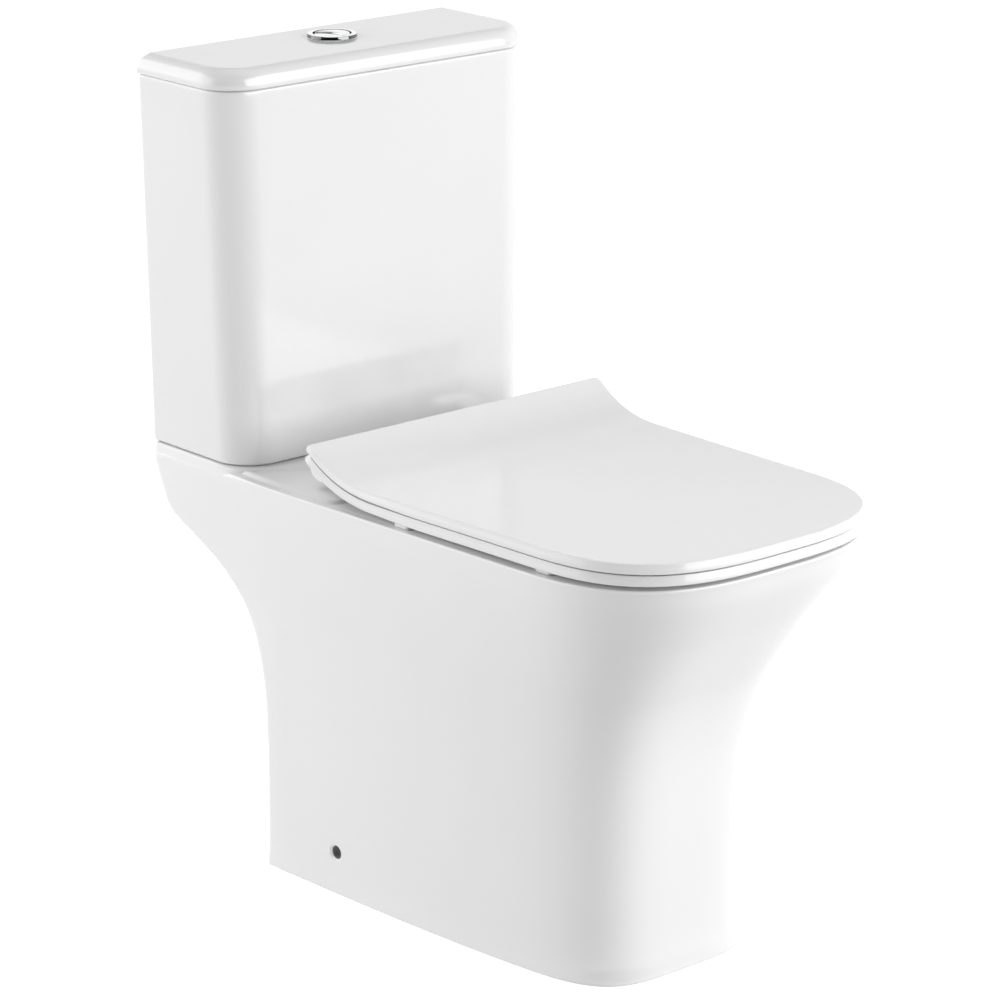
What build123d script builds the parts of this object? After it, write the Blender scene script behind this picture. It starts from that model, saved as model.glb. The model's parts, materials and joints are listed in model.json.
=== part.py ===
from build123d import *
import os
from math import sin, cos, tan, pi, radians, sqrt, hypot

# Close coupled toilet. Millimetres, +Z up, floor at Z = 0, front towards -Y,
# wall side towards +Y, X = 0 is the plane of symmetry.

# ---------------------------------------------------------------- driving dimensions
Y_BACK = 332.5            # rear plane of cistern and shelf
Z_RIM = 402.6             # rim top
Z_DECK = 405.2            # raised seat deck
Z_SHELF = 407.5           # cistern shelf
RIM_R = 4.6               # rounding of the outer rim edge
WALL = 11.0               # china wall
BASE_FRONT = -220.6       # front of the foot
RIM_FRONT = -329.2        # front of the rim
REAR_FOOT = 225.5         # rear edge of the foot

CIS_Z0, CIS_Z1 = 408.0, 758.5
CIS_W0, CIS_W1 = 175.2, 182.5      # half width at the bottom / top
CIS_F0, CIS_F1 = 195.5, 200.0      # front plane at the bottom / top
CIS_R = 37.0                       # front corner radius in plan
CIS_T = 9.0
LID_W, LID_F = 185.5, 197.0
LID_Z0, LID_Z1 = 759.3, 778.4
LID_SH = 11.0                      # shoulder radius of the cistern lid

BTN_Y = 275.8                      # flush button centre
BEZEL_R, BEZEL_H = 24.2, 3.8
BTN_R = 17.2
BTN_TRAVEL = 6.0

HINGE_Y, HINGE_Z = 118.0, 424.0    # seat hinge axis
HINGE_X = 77.5                     # half spacing of the fixing studs
PIN_R = 4.0
KNUCKLE_R = 14.5

SEAT_FRONT = -332.5
LID_T = 9.6                        # seat lid thickness
SEAT_T = 10.0                      # seat ring thickness
SEAT_GAP = 1.0                     # gap between ring and lid

OUT_Z, OUT_R = 185.0, 51.0         # outlet spigot centre height, outer radius
OUT_END = 246.0
TRAP_R = 38.0                      # passage radius of the trap
CPL_X, CPL_Y = 75.0, 264.0         # cistern coupling bolts
FILL_X, FILL_Y = 125.0, 264.0      # fill valve axis

os.makedirs("parts", exist_ok=True)


# ---------------------------------------------------------------- outlines
def base_w(y):
    u = max(203.0 - y, 0.0) / 340.0
    return 134.5 - 12.0 * u - 11.0 * u ** 3


def rim_w(y):
    u = max((Y_BACK - y) / 592.0, 0.0)
    return 179.0 - 11.5 * u ** 1.6


def pan_outline(g, inset=0.0, rear=Y_BACK):
    """Horizontal section of the pan: g = 0 at the foot, 1 at the rim."""
    y0 = -100.0 - 70.0 * g
    n = 4.2 - 1.2 * g
    yf = BASE_FRONT + (RIM_FRONT - BASE_FRONT) * g + inset
    left = []
    for k in range(7):
        y = rear + (y0 - rear) * k / 7.0
        left.append((-(base_w(y) * (1 - g) + rim_w(y) * g - inset), y))
    for a in (0, 12, 25, 38, 52, 66, 79):
        s = sin(radians(a)) ** (2 / n)
        y = y0 + (yf - y0) * s
        w = base_w(y) * (1 - g) + rim_w(y) * g - inset
        left.append((-w * cos(radians(a)) ** (2 / n), y))
    return left + [(0.0, yf)] + [(-x, y) for x, y in reversed(left)]


# height against flare of the pan
FLARE = [(0, -0.010), (6, -0.022), (14, -0.043), (25, -0.060), (70, -0.069), (120, -0.064), (165, -0.040),
         (200, 0.0), (232, 0.067), (262, 0.165), (292, 0.323), (325, 0.522), (358, 0.745),
         (382, 0.895), (398, 0.972)]


def bowl_outline(hw, yf, yr, n, grow=0.0, count=28):
    cy, hl = (yf + yr) / 2.0, (yr - yf) / 2.0 + grow
    pts = []
    for k in range(count):
        a = 2 * pi * (k + 0.5) / count
        c, s = cos(a), sin(a)
        pts.append(((hw + grow) * abs(c) ** (2 / n) * (1 if c > 0 else -1),
                    cy + hl * abs(s) ** (2 / n) * (1 if s > 0 else -1)))
    return pts


# bowl: height, half width, front, rear, squareness
BOWL = [(410.0, 121.0, -284.0, 46.0, 2.9), (372.0, 118.0, -280.0, 44.0, 2.8), (300.0, 104.0, -237.0, 36.0, 2.5),
        (220.0, 79.0, -194.0, 25.0, 2.3), (150.0, 59.0, -146.0, 19.0, 2.2), (90.0, 50.0, -104.0, 13.0, 2.1),
        (22.0, 46.0, -84.0, 9.0, 2.1)]
BOWL_FLOOR = 9.0          # underside of the sump


def seat_w(y):
    u = max(y + 195.0, 0.0) / 293.0
    return 167.6 + 10.2 * min(u, 1.0) ** 1.2


def seat_outline(rear, inset=0.0, r=12.0):
    """Plan of the seat lid and ring, tail corners rounded by r."""
    y0, n = -170.0, 3.0
    yf = SEAT_FRONT + inset
    w_r = seat_w(rear) - inset
    left = [(-(seat_w(rear - r) - inset), rear - r)]
    for k in range(1, 6):
        y = (rear - r) + (y0 - rear + r) * k / 6.0
        left.append((-(seat_w(y) - inset), y))
    for a in (0, 11, 23, 35, 48, 61, 75):
        s = sin(radians(a)) ** (2 / n)
        y = y0 + (yf - y0) * s
        left.append((-(seat_w(y) - inset) * cos(radians(a)) ** (2 / n), y))
    side = left + [(0.0, yf)] + [(-x, y) for x, y in reversed(left)]
    return side, w_r


def seat_top(y):
    """Side profile of the seat lid top: level, then swept up at the tail."""
    d = y - 13.0
    if d <= 0:
        return 427.6 - 0.0085 * d
    return 427.6 + 0.0023 * d * d + 0.0000195 * d ** 3


def offset_profile(depth, y_end, tail):
    """Points of the side profile moved down along its normal, by depth on the level part and by tail at the swept-up end."""
    pts = []
    ys = [-345.0, -250.0, -150.0, -70.0, -15.0, 13.0, 30.0, 44.0, 56.0, 67.0, 77.0, 86.0, y_end]
    for y in ys:
        e = 0.5
        m = (seat_top(y + e) - seat_top(y - e)) / (2 * e)
        q = sqrt(1 + m * m)
        u = min(max((y - 13.0) / 73.0, 0.0), 1.0)
        d = depth + (tail - depth) * u * u * (3 - 2 * u)
        pts.append((y + d * m / q, seat_top(y) - d / q))
    return pts


TAIL = 98.5
LID_LOWER = LID_T
RING_UPPER = LID_T + SEAT_GAP
RING_LOWER = LID_T + SEAT_GAP + SEAT_T
LID_TAIL, RING_TAIL_UP, RING_TAIL_LO = 5.4, 8.2, 15.6    # the same depths at the tail

# ---------------------------------------------------------------- pan
# The china pan is laid out as cast sections that meet face to face:
# rim, skirt (front, left, right), bowl, trap and flush duct.
Z_PLATE = 391.0           # underside of the rim plate
Y_SKIRT = 60.0            # where the front of the skirt meets its sides

with BuildPart() as bowl_body:
    for z, hw, yf, yr, n in BOWL:
        with BuildSketch(Plane.XY.offset(z if z > 23 else BOWL_FLOOR)):
            with BuildLine():
                Spline(*bowl_outline(hw, yf, yr, n, 10.0), periodic=True)
            make_face()
    loft()

with BuildPart() as bowl_cut:
    for z, hw, yf, yr, n in BOWL:
        with BuildSketch(Plane.XY.offset(z)):
            with BuildLine():
                Spline(*bowl_outline(hw, yf, yr, n), periodic=True)
            make_face()
    loft()

with BuildPart() as trap_bore:
    with BuildLine() as trap_axis:
        FilletPolyline((0, -38, 62), (0, 46, 62), (0, 122, OUT_Z), (0, OUT_END + 1, OUT_Z), radius=62)
    with BuildSketch(Plane(origin=(0, -38, 62), z_dir=(0, 1, 0))):
        Circle(TRAP_R)
    sweep(path=trap_axis.wires()[0])

with BuildPart() as pan_form:
    for z, g in FLARE:
        with BuildSketch(Plane.XY.offset(z)):
            with BuildLine():
                pts = pan_outline(g)
                Spline(*pts)
                Line(pts[-1], pts[0])
            make_face()
    loft()
    # concave rear: vertical foot, then a sweep back to the underside of the shelf
    with BuildSketch(Plane.YZ):
        with BuildLine():
            Line((REAR_FOOT, -5.0), (REAR_FOOT, 150.0))
            Spline((REAR_FOOT, 150.0), (229.5, 205.0), (243.0, 258.0), (271.0, 296.0), (331.5, 336.0),
                   tangents=((0, 1), (0.86, 0.5)))
            Polyline((331.5, 336.0), (345.0, 336.0), (345.0, -5.0), (REAR_FOOT, -5.0))
        make_face()
    extrude(amount=220.0, both=True, mode=Mode.SUBTRACT)

with BuildPart() as pan_void:
    for z, g in FLARE:
        with BuildSketch(Plane.XY.offset(z if z > 0 else -2.0)):
            with BuildLine():
                pts = pan_outline(g, WALL, 345.0)
                Spline(*pts)
                Line(pts[-1], pts[0])
            make_face()
    loft()

with BuildPart() as pan_skirt:
    add(pan_form.part)
    add(pan_void.part, mode=Mode.SUBTRACT)
    with Locations((0, 0, Z_PLATE + 20.0)):
        Box(500.0, 800.0, 40.0, mode=Mode.SUBTRACT)
    # floor fixing holes through both side walls
    with BuildSketch(Plane(origin=(-160.0, 124.0, 41.0), z_dir=(1, 0, 0))):
        Circle(6.0)
    extrude(amount=320.0, mode=Mode.SUBTRACT)

with BuildPart() as pan_skirt_front:
    add(pan_skirt.part)
    with Locations((0, Y_SKIRT + 300.0, 200.0)):
        Box(500.0, 600.0, 500.0, mode=Mode.SUBTRACT)
pan_skirt_front.part.label = "pan_skirt_front"
export_step(pan_skirt_front.part, "parts/pan_skirt_front.step")

with BuildPart() as pan_skirt_left:
    add(pan_skirt.part)
    with Locations((0, Y_SKIRT - 300.0, 200.0)):
        Box(500.0, 600.0, 500.0, mode=Mode.SUBTRACT)
    with Locations((150.0, 200.0, 200.0)):
        Box(300.0, 600.0, 500.0, mode=Mode.SUBTRACT)
pan_skirt_left.part.label = "pan_skirt_left"
export_step(pan_skirt_left.part, "parts/pan_skirt_left.step")

with BuildPart() as pan_skirt_right:
    add(pan_skirt.part)
    with Locations((0, Y_SKIRT - 300.0, 200.0)):
        Box(500.0, 600.0, 500.0, mode=Mode.SUBTRACT)
    with Locations((-150.0, 200.0, 200.0)):
        Box(300.0, 600.0, 500.0, mode=Mode.SUBTRACT)
pan_skirt_right.part.label = "pan_skirt_right"
export_step(pan_skirt_right.part, "parts/pan_skirt_right.step")

with BuildPart() as pan_bowl:
    add(bowl_body.part)
    with Locations((0, -100, Z_PLATE + 20.0)):
        Box(500.0, 600.0, 40.0, mode=Mode.SUBTRACT)
    add(bowl_cut.part, mode=Mode.SUBTRACT)
    add(trap_bore.part, mode=Mode.SUBTRACT)
    # flush water enters through the back of the bowl
    with BuildSketch(Plane.XY.offset(343.0)):
        with Locations((0, 64.0)):
            Rectangle(80.0, 70.0)
    extrude(amount=33.0, mode=Mode.SUBTRACT)
pan_bowl.part.label = "pan_bowl"
export_step(pan_bowl.part, "parts/pan_bowl.step")

with BuildPart() as pan_trap:
    with BuildLine() as trap_line:
        FilletPolyline((0, -38, 62), (0, 46, 62), (0, 122, OUT_Z), (0, OUT_END, OUT_Z), radius=62)
    with BuildSketch(Plane(origin=(0, -38, 62), z_dir=(0, 1, 0))):
        Circle(TRAP_R + 10.0)
    sweep(path=trap_line.wires()[0])
    with BuildSketch(Plane(origin=(0, OUT_END, OUT_Z), z_dir=(0, -1, 0))):
        Circle(OUT_R)
    extrude(amount=70.0)
    add(bowl_body.part, mode=Mode.SUBTRACT)
    add(trap_bore.part, mode=Mode.SUBTRACT)
pan_trap.part.label = "pan_trap"
export_step(pan_trap.part, "parts/pan_trap.step")

with BuildPart() as pan_duct:
    with BuildSketch(Plane.XY.offset(334.0)):
        with Locations((0, 168.0)):
            Rectangle(100.0, 280.0)
    extrude(amount=Z_PLATE - 334.0)
    add(bowl_body.part, mode=Mode.SUBTRACT)
    with BuildSketch(Plane.XY.offset(343.0)):
        with Locations((0, 164.0)):
            Rectangle(80.0, 270.0)
    extrude(amount=33.0, mode=Mode.SUBTRACT)
    with Locations((0, CPL_Y, 370.0)):
        Cylinder(34.0, 60.0, align=(Align.CENTER, Align.CENTER, Align.MIN), mode=Mode.SUBTRACT)
    with Locations((0, CPL_Y, 383.0)):
        Cylinder(47.5, 60.0, align=(Align.CENTER, Align.CENTER, Align.MIN), mode=Mode.SUBTRACT)
pan_duct.part.label = "pan_duct"
export_step(pan_duct.part, "parts/pan_duct.step")

with BuildPart() as pan_rim:
    add(pan_form.part)
    with Locations((0, 0, Z_PLATE - 250.0)):
        Box(500.0, 800.0, 500.0, mode=Mode.SUBTRACT)
    # rounded rim edge
    for z in (398.0, 399.8, 401.3, 402.2, Z_RIM):
        dz = z - (Z_RIM - RIM_R)
        inset = RIM_R - sqrt(max(RIM_R ** 2 - dz ** 2, 0.0))
        with BuildSketch(Plane.XY.offset(z)):
            with BuildLine():
                pts = pan_outline(0.972 + 0.028 * dz / RIM_R, inset)
                Spline(*pts)
                Line(pts[-1], pts[0])
            make_face()
    loft(ruled=True)
    # raised seat deck and cistern shelf
    with BuildSketch(Plane.XY.offset(Z_RIM - 0.5)):
        with Locations((0, (72.0 + Y_BACK - 4) / 2)):
            RectangleRounded(336.0, Y_BACK - 4 - 72.0, 13.0)
    extrude(amount=Z_DECK - Z_RIM + 0.5)
    with BuildSketch(Plane.XY.offset(Z_RIM - 0.5)):
        with BuildLine():
            Polyline((-172.0, Y_BACK - 1), (-172.0, 230.0))
            RadiusArc((-172.0, 230.0), (-132.0, 190.0), -40.0)
            Line((-132.0, 190.0), (132.0, 190.0))
            RadiusArc((132.0, 190.0), (172.0, 230.0), -40.0)
            Polyline((172.0, 230.0), (172.0, Y_BACK - 1), (-172.0, Y_BACK - 1))
        make_face()
    extrude(amount=Z_SHELF - Z_RIM + 0.5)
    add(bowl_cut.part, mode=Mode.SUBTRACT)
    with Locations((0, CPL_Y, 370.0)):
        Cylinder(47.5, 60.0, align=(Align.CENTER, Align.CENTER, Align.MIN), mode=Mode.SUBTRACT)
    # holes for the coupling bolts, the inlet tail and the seat studs
    with Locations((-CPL_X, CPL_Y, 395.0), (CPL_X, CPL_Y, 395.0)):
        Cylinder(6.5, 60.0, mode=Mode.SUBTRACT)
    with Locations((FILL_X, FILL_Y, 395.0)):
        Cylinder(24.0, 60.0, mode=Mode.SUBTRACT)
    with Locations((-HINGE_X, HINGE_Y, 395.0), (HINGE_X, HINGE_Y, 395.0)):
        Cylinder(6.0, 60.0, mode=Mode.SUBTRACT)
pan_rim.part.label = "pan_rim"
export_step(pan_rim.part, "parts/pan_rim.step")


# ---------------------------------------------------------------- cistern
def tank_lines(w, yf, yb, r, rb):
    """Closed plan: large front corners, small rear corners."""
    Line((-w, yb - rb), (-w, yf + r))
    RadiusArc((-w, yf + r), (-w + r, yf), -r)
    Line((-w + r, yf), (w - r, yf))
    RadiusArc((w - r, yf), (w, yf + r), -r)
    Line((w, yf + r), (w, yb - rb))
    RadiusArc((w, yb - rb), (w - rb, yb), -rb)
    Line((w - rb, yb), (-w + rb, yb))
    RadiusArc((-w + rb, yb), (-w, yb - rb), -rb)


with BuildPart() as cistern:
    for z, d in ((CIS_Z0, 3.6), (CIS_Z0 + 0.7, 1.7), (CIS_Z0 + 1.9, 0.5), (CIS_Z0 + 9.0, 0.0)):
        t = (z - CIS_Z0) / (CIS_Z1 - CIS_Z0)
        with BuildSketch(Plane.XY.offset(z)):
            with BuildLine():
                tank_lines(CIS_W0 + (CIS_W1 - CIS_W0) * t - d, CIS_F0 + (CIS_F1 - CIS_F0) * t + d,
                           Y_BACK - 0.4 * d, CIS_R - 0.5 * d, 3.0)
            make_face()
    loft(ruled=True)
    t9 = 9.0 / (CIS_Z1 - CIS_Z0)
    for z, t in ((CIS_Z0 + 9.0, t9), (CIS_Z1, 1.0)):
        with BuildSketch(Plane.XY.offset(z)):
            with BuildLine():
                tank_lines(CIS_W0 + (CIS_W1 - CIS_W0) * t, CIS_F0 + (CIS_F1 - CIS_F0) * t, Y_BACK + 0.6, CIS_R, 3.4)
            make_face()
    loft(ruled=True)
    # flat back
    with Locations((0, Y_BACK + 10.0, 590.0)):
        Box(500.0, 20.0, 400.0, mode=Mode.SUBTRACT)
    for z, t in ((CIS_Z0 + 10.0, 0.03), (CIS_Z1 + 1.0, 1.0)):
        with BuildSketch(Plane.XY.offset(z)):
            with BuildLine():
                tank_lines(CIS_W0 + (CIS_W1 - CIS_W0) * t - CIS_T, CIS_F0 + (CIS_F1 - CIS_F0) * t + CIS_T,
                           Y_BACK - CIS_T, CIS_R - CIS_T, 6.0)
            make_face()
    loft(ruled=True, mode=Mode.SUBTRACT)
    with Locations((0, CPL_Y, 410.0)):
        Cylinder(31.5, 40.0, mode=Mode.SUBTRACT)
    with Locations((-CPL_X, CPL_Y, 410.0), (CPL_X, CPL_Y, 410.0)):
        Cylinder(6.5, 40.0, mode=Mode.SUBTRACT)
    with Locations((FILL_X, FILL_Y, 410.0)):
        Cylinder(11.5, 40.0, mode=Mode.SUBTRACT)
cistern.part.label = "cistern"
export_step(cistern.part, "parts/cistern.step")

# ---------------------------------------------------------------- cistern lid
with BuildPart() as cistern_lid:
    with BuildSketch(Plane.XY.offset(LID_Z0)):
        with BuildLine():
            tank_lines(LID_W, LID_F, Y_BACK, 40.0, 3.4)
        make_face()
    extrude(amount=LID_Z1 - LID_Z0)
    fillet(cistern_lid.faces().sort_by(Axis.Z)[-1].edges(), LID_SH - 5.2)
    # hollow underside and locating lip
    with BuildSketch(Plane.XY.offset(LID_Z0 - 0.5)):
        with BuildLine():
            tank_lines(158.0, 224.5, 307.0, 20.0, 10.0)
        make_face()
    extrude(amount=8.5, mode=Mode.SUBTRACT)
    with BuildSketch(Plane.XY.offset(LID_Z0 + 0.5)):
        with BuildLine():
            tank_lines(170.0, 212.5, 320.0, 24.0, 8.0)
        make_face()
        with BuildLine():
            tank_lines(163.0, 219.5, 313.0, 20.0, 8.0)
        make_face(mode=Mode.SUBTRACT)
    extrude(amount=-8.5)
    with Locations((0, BTN_Y, LID_Z0)):
        Cylinder(20.0, 60.0, mode=Mode.SUBTRACT)
cistern_lid.part.label = "cistern_lid"
export_step(cistern_lid.part, "parts/cistern_lid.step")

# ---------------------------------------------------------------- flush buttons
Z_BT = LID_Z1 + BEZEL_H                # bezel top
with BuildPart() as button_bezel:
    with BuildSketch(Plane.XZ.offset(-BTN_Y)):
        with BuildLine():
            Polyline((17.8, Z_BT - 1.0), (18.6, Z_BT - 0.2), (21.6, Z_BT - 0.2), (BEZEL_R - 0.6, Z_BT - 0.8), (BEZEL_R, Z_BT - 1.4),
                     (BEZEL_R, LID_Z1), (19.4, LID_Z1), (19.4, 744.0), (14.6, 744.0), (14.6, 746.5),
                     (17.8, 749.5), (17.8, Z_BT - 1.0))
        make_face()
    revolve(axis=Axis((0, BTN_Y, 0), (0, 0, 1)))
button_bezel.part.label = "button_bezel"
export_step(button_bezel.part, "parts/button_bezel.step")

with BuildPart() as button_clamp_nut:
    with BuildSketch(Plane.XY.offset(756.5)):
        with Locations((0, BTN_Y)):
            RegularPolygon(27.0, 12)
            Circle(19.4, mode=Mode.SUBTRACT)
    extrude(amount=10.7)
button_clamp_nut.part.label = "button_clamp_nut"
export_step(button_clamp_nut.part, "parts/button_clamp_nut.step")

LENS_R = 22.5                          # curved split of the push plate, turned towards the front left
LENS_X, LENS_Y = -21.0 * cos(radians(21)), -21.0 * sin(radians(21))
with BuildPart() as half_flush_button:
    with BuildSketch(Plane.XY.offset(LID_Z1 - 8.0)):
        with Locations((0, BTN_Y)):
            Circle(BTN_R)
        with Locations((LENS_X, BTN_Y + LENS_Y)):
            Circle(LENS_R - 0.3, mode=Mode.INTERSECT)
    extrude(amount=8.0 + BEZEL_H - 0.5)
    fillet(half_flush_button.faces().sort_by(Axis.Z)[-1].edges(), 0.6)
half_flush_button.part.label = "half_flush_button"
export_step(half_flush_button.part, "parts/half_flush_button.step")

with BuildPart() as full_flush_button:
    with BuildSketch(Plane.XY.offset(LID_Z1 - 8.0)):
        with Locations((0, BTN_Y)):
            Circle(BTN_R)
        with Locations((LENS_X, BTN_Y + LENS_Y)):
            Circle(LENS_R + 0.3, mode=Mode.SUBTRACT)
    extrude(amount=8.0 + BEZEL_H - 0.5)
    fillet(full_flush_button.faces().sort_by(Axis.Z)[-1].edges(), 0.6)
full_flush_button.part.label = "full_flush_button"
export_step(full_flush_button.part, "parts/full_flush_button.step")

ROD_X, ROD_Y = 9.0, 274.0
ROD_Z = 679.6
with BuildPart() as full_push_rod:
    with Locations((ROD_X, ROD_Y, ROD_Z)):
        Cylinder(2.5, LID_Z1 - 8.0 - ROD_Z, align=(Align.CENTER, Align.CENTER, Align.MIN))
full_push_rod.part.label = "full_push_rod"
export_step(full_push_rod.part, "parts/full_push_rod.step")

with BuildPart() as half_push_rod:
    with Locations((-ROD_X, ROD_Y, ROD_Z)):
        Cylinder(2.5, LID_Z1 - 8.0 - ROD_Z, align=(Align.CENTER, Align.CENTER, Align.MIN))
half_push_rod.part.label = "half_push_rod"
export_step(half_push_rod.part, "parts/half_push_rod.step")

# ---------------------------------------------------------------- flush valve
Z_FLOOR = CIS_Z0 + 10.0
with BuildPart() as flush_valve_base:
    with BuildSketch(Plane.XZ.offset(-CPL_Y)):
        with BuildLine():
            Polyline((26.0, 372.0), (30.0, 372.0), (30.0, Z_FLOOR + 3.0), (44.0, Z_FLOOR + 3.0), (44.0, Z_FLOOR + 8.0),
                     (32.0, Z_FLOOR + 8.0), (32.0, Z_FLOOR + 12.0), (29.0, Z_FLOOR + 12.0), (26.0, Z_FLOOR + 8.0), (26.0, 372.0))
        make_face()
    revolve(axis=Axis((0, CPL_Y, 0), (0, 0, 1)))
flush_valve_base.part.label = "flush_valve_base"
export_step(flush_valve_base.part, "parts/flush_valve_base.step")

with BuildPart() as flush_valve_seal:
    with BuildSketch(Plane.XY.offset(Z_FLOOR)):
        with Locations((0, CPL_Y)):
            Circle(43.0)
            Circle(30.0, mode=Mode.SUBTRACT)
    extrude(amount=3.0)
flush_valve_seal.part.label = "flush_valve_seal"
export_step(flush_valve_seal.part, "parts/flush_valve_seal.step")

with BuildPart() as flush_valve_backnut:
    with BuildSketch(Plane.XY.offset(398.0)):
        with Locations((0, CPL_Y)):
            RegularPolygon(41.0, 8)
            Circle(30.0, mode=Mode.SUBTRACT)
    extrude(amount=10.0)
flush_valve_backnut.part.label = "flush_valve_backnut"
export_step(flush_valve_backnut.part, "parts/flush_valve_backnut.step")

with BuildPart() as doughnut_seal:
    with BuildSketch(Plane.XZ.offset(-CPL_Y)):
        with BuildLine():
            Polyline((30.0, 398.0), (44.5, 398.0), (46.0, 395.0), (46.0, 388.0), (42.0, 383.0), (35.0, 383.0), (30.0, 386.0), (30.0, 398.0))
        make_face()
    revolve(axis=Axis((0, CPL_Y, 0), (0, 0, 1)))
doughnut_seal.part.label = "doughnut_seal"
export_step(doughnut_seal.part, "parts/doughnut_seal.step")

with BuildPart() as flush_valve_canister:
    with BuildSketch(Plane.XY.offset(Z_FLOOR + 8.0)):
        with Locations((0, CPL_Y)):
            Circle(36.0)
            Circle(32.0, mode=Mode.SUBTRACT)
    extrude(amount=214.0)
    # top deck with the guide hole, and lever cheeks
    with BuildSketch(Plane.XY.offset(636.0)):
        with Locations((0, CPL_Y)):
            Circle(36.0)
            Circle(13.6, mode=Mode.SUBTRACT)
    extrude(amount=4.0)
    with BuildSketch(Plane.XY.offset(638.0)):
        with Locations((-22.0, 262.0), (22.0, 262.0)):
            Rectangle(4.0, 22.0)
    extrude(amount=40.0)
    with Locations((0, 262.0, 670.0)):
        Cylinder(2.5, 80.0, rotation=(0, 90, 0), mode=Mode.SUBTRACT)
    # water windows low in the wall
    with Locations((0, CPL_Y, 455.0)):
        Box(90.0, 34.0, 34.0, mode=Mode.SUBTRACT)
        Box(34.0, 90.0, 34.0, mode=Mode.SUBTRACT)
flush_valve_canister.part.label = "flush_valve_canister"
export_step(flush_valve_canister.part, "parts/flush_valve_canister.step")

with BuildPart() as flush_valve_piston:
    with BuildSketch(Plane.XY.offset(Z_FLOOR + 16.0)):
        with Locations((0, CPL_Y)):
            Circle(28.0)
            Circle(10.5, mode=Mode.SUBTRACT)
    extrude(amount=4.0)
    with BuildSketch(Plane.XY.offset(Z_FLOOR + 16.0)):
        with Locations((0, CPL_Y)):
            Circle(13.0)
            Circle(10.5, mode=Mode.SUBTRACT)
    extrude(amount=211.0)
    # lifting bridge over the lever noses
    with BuildSketch(Plane.XY.offset(645.0)):
        with Locations((0, 246.0)):
            Rectangle(14.0, 16.0)
        with Locations((0, CPL_Y)):
            Circle(10.5, mode=Mode.SUBTRACT)
    extrude(amount=4.0)
    with BuildSketch(Plane.XY.offset(645.0)):
        with Locations((0, 236.0)):
            Rectangle(8.0, 5.0)
    extrude(amount=43.0)
    # the full flush lever lifts at once, the half flush lever has lost motion
    with BuildSketch(Plane.XY.offset(672.6)):
        with Locations((7.5, 236.5)):
            Rectangle(15.0, 6.0)
    extrude(amount=4.0)
    with BuildSketch(Plane.XY.offset(684.0)):
        with Locations((-7.5, 236.5)):
            Rectangle(15.0, 6.0)
    extrude(amount=4.0)
flush_valve_piston.part.label = "flush_valve_piston"
export_step(flush_valve_piston.part, "parts/flush_valve_piston.step")

with BuildPart() as piston_seal:
    with BuildSketch(Plane.XY.offset(Z_FLOOR + 12.6)):
        with Locations((0, CPL_Y)):
            Circle(31.0)
            Circle(12.0, mode=Mode.SUBTRACT)
    extrude(amount=3.4)
piston_seal.part.label = "piston_seal"
export_step(piston_seal.part, "parts/piston_seal.step")

with BuildPart() as flush_lever_pin:
    with Locations((0, 262.0, 670.0)):
        Cylinder(2.5, 48.0, rotation=(0, 90, 0))
flush_lever_pin.part.label = "flush_lever_pin"
export_step(flush_lever_pin.part, "parts/flush_lever_pin.step")

with BuildPart() as full_flush_lever:
    with BuildSketch(Plane.YZ.offset(6.0)):
        with BuildLine():
            Polyline((236.0, 671.5), (257.0, 675.5), (267.0, 675.5), (281.0, 678.6), (282.0, 675.6), (267.0, 664.5), (257.0, 664.5), (236.0, 668.5), (236.0, 671.5))
        make_face()
        with Locations((262.0, 670.0)):
            Circle(2.55, mode=Mode.SUBTRACT)
    extrude(amount=6.0)
full_flush_lever.part.label = "full_flush_lever"
export_step(full_flush_lever.part, "parts/full_flush_lever.step")

with BuildPart() as half_flush_lever:
    with BuildSketch(Plane.YZ.offset(-12.0)):
        with BuildLine():
            Polyline((236.0, 671.5), (257.0, 675.5), (267.0, 675.5), (281.0, 678.6), (282.0, 675.6), (267.0, 664.5), (257.0, 664.5), (236.0, 668.5), (236.0, 671.5))
        make_face()
        with Locations((262.0, 670.0)):
            Circle(2.55, mode=Mode.SUBTRACT)
    extrude(amount=6.0)
half_flush_lever.part.label = "half_flush_lever"
export_step(half_flush_lever.part, "parts/half_flush_lever.step")

# ---------------------------------------------------------------- fill valve
with BuildPart() as fill_valve_body:
    with BuildSketch(Plane.XZ.offset(-FILL_Y)):
        with BuildLine():
            Polyline((FILL_X + 6.5, 356.0), (FILL_X + 10.4, 356.0), (FILL_X + 10.4, 395.0), (FILL_X + 9.7, 395.0), (FILL_X + 9.7, 397.0),
                     (FILL_X + 10.4, 397.0), (FILL_X + 10.4, Z_FLOOR + 3.0), (FILL_X + 21.0, Z_FLOOR + 3.0),
                     (FILL_X + 21.0, Z_FLOOR + 8.0), (FILL_X + 13.5, Z_FLOOR + 12.0), (FILL_X + 13.5, 650.0), (FILL_X + 6.5, 650.0), (FILL_X + 6.5, 356.0))
        make_face()
    revolve(axis=Axis((FILL_X, FILL_Y, 0), (0, 0, 1)))
    # pivot cheeks of the float arm
    with BuildSketch(Plane.XY.offset(646.0)):
        with Locations((FILL_X + 8.0, FILL_Y - 8.0), (FILL_X + 8.0, FILL_Y + 8.0)):
            Rectangle(9.0, 4.0)
    extrude(amount=30.0)
    with Locations((FILL_X + 8.0, FILL_Y, 670.0)):
        Cylinder(2.0, 20.0, rotation=(90, 0, 0))
fill_valve_body.part.label = "fill_valve_body"
export_step(fill_valve_body.part, "parts/fill_valve_body.step")

with BuildPart() as fill_valve_cap:
    with BuildSketch(Plane.XY.offset(650.0)):
        with Locations((FILL_X, FILL_Y)):
            Circle(13.5)
        with Locations((FILL_X + 8.0, FILL_Y)):
            Rectangle(11.0, 40.0, mode=Mode.SUBTRACT)
    extrude(amount=7.0)
fill_valve_cap.part.label = "fill_valve_cap"
export_step(fill_valve_cap.part, "parts/fill_valve_cap.step")

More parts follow.
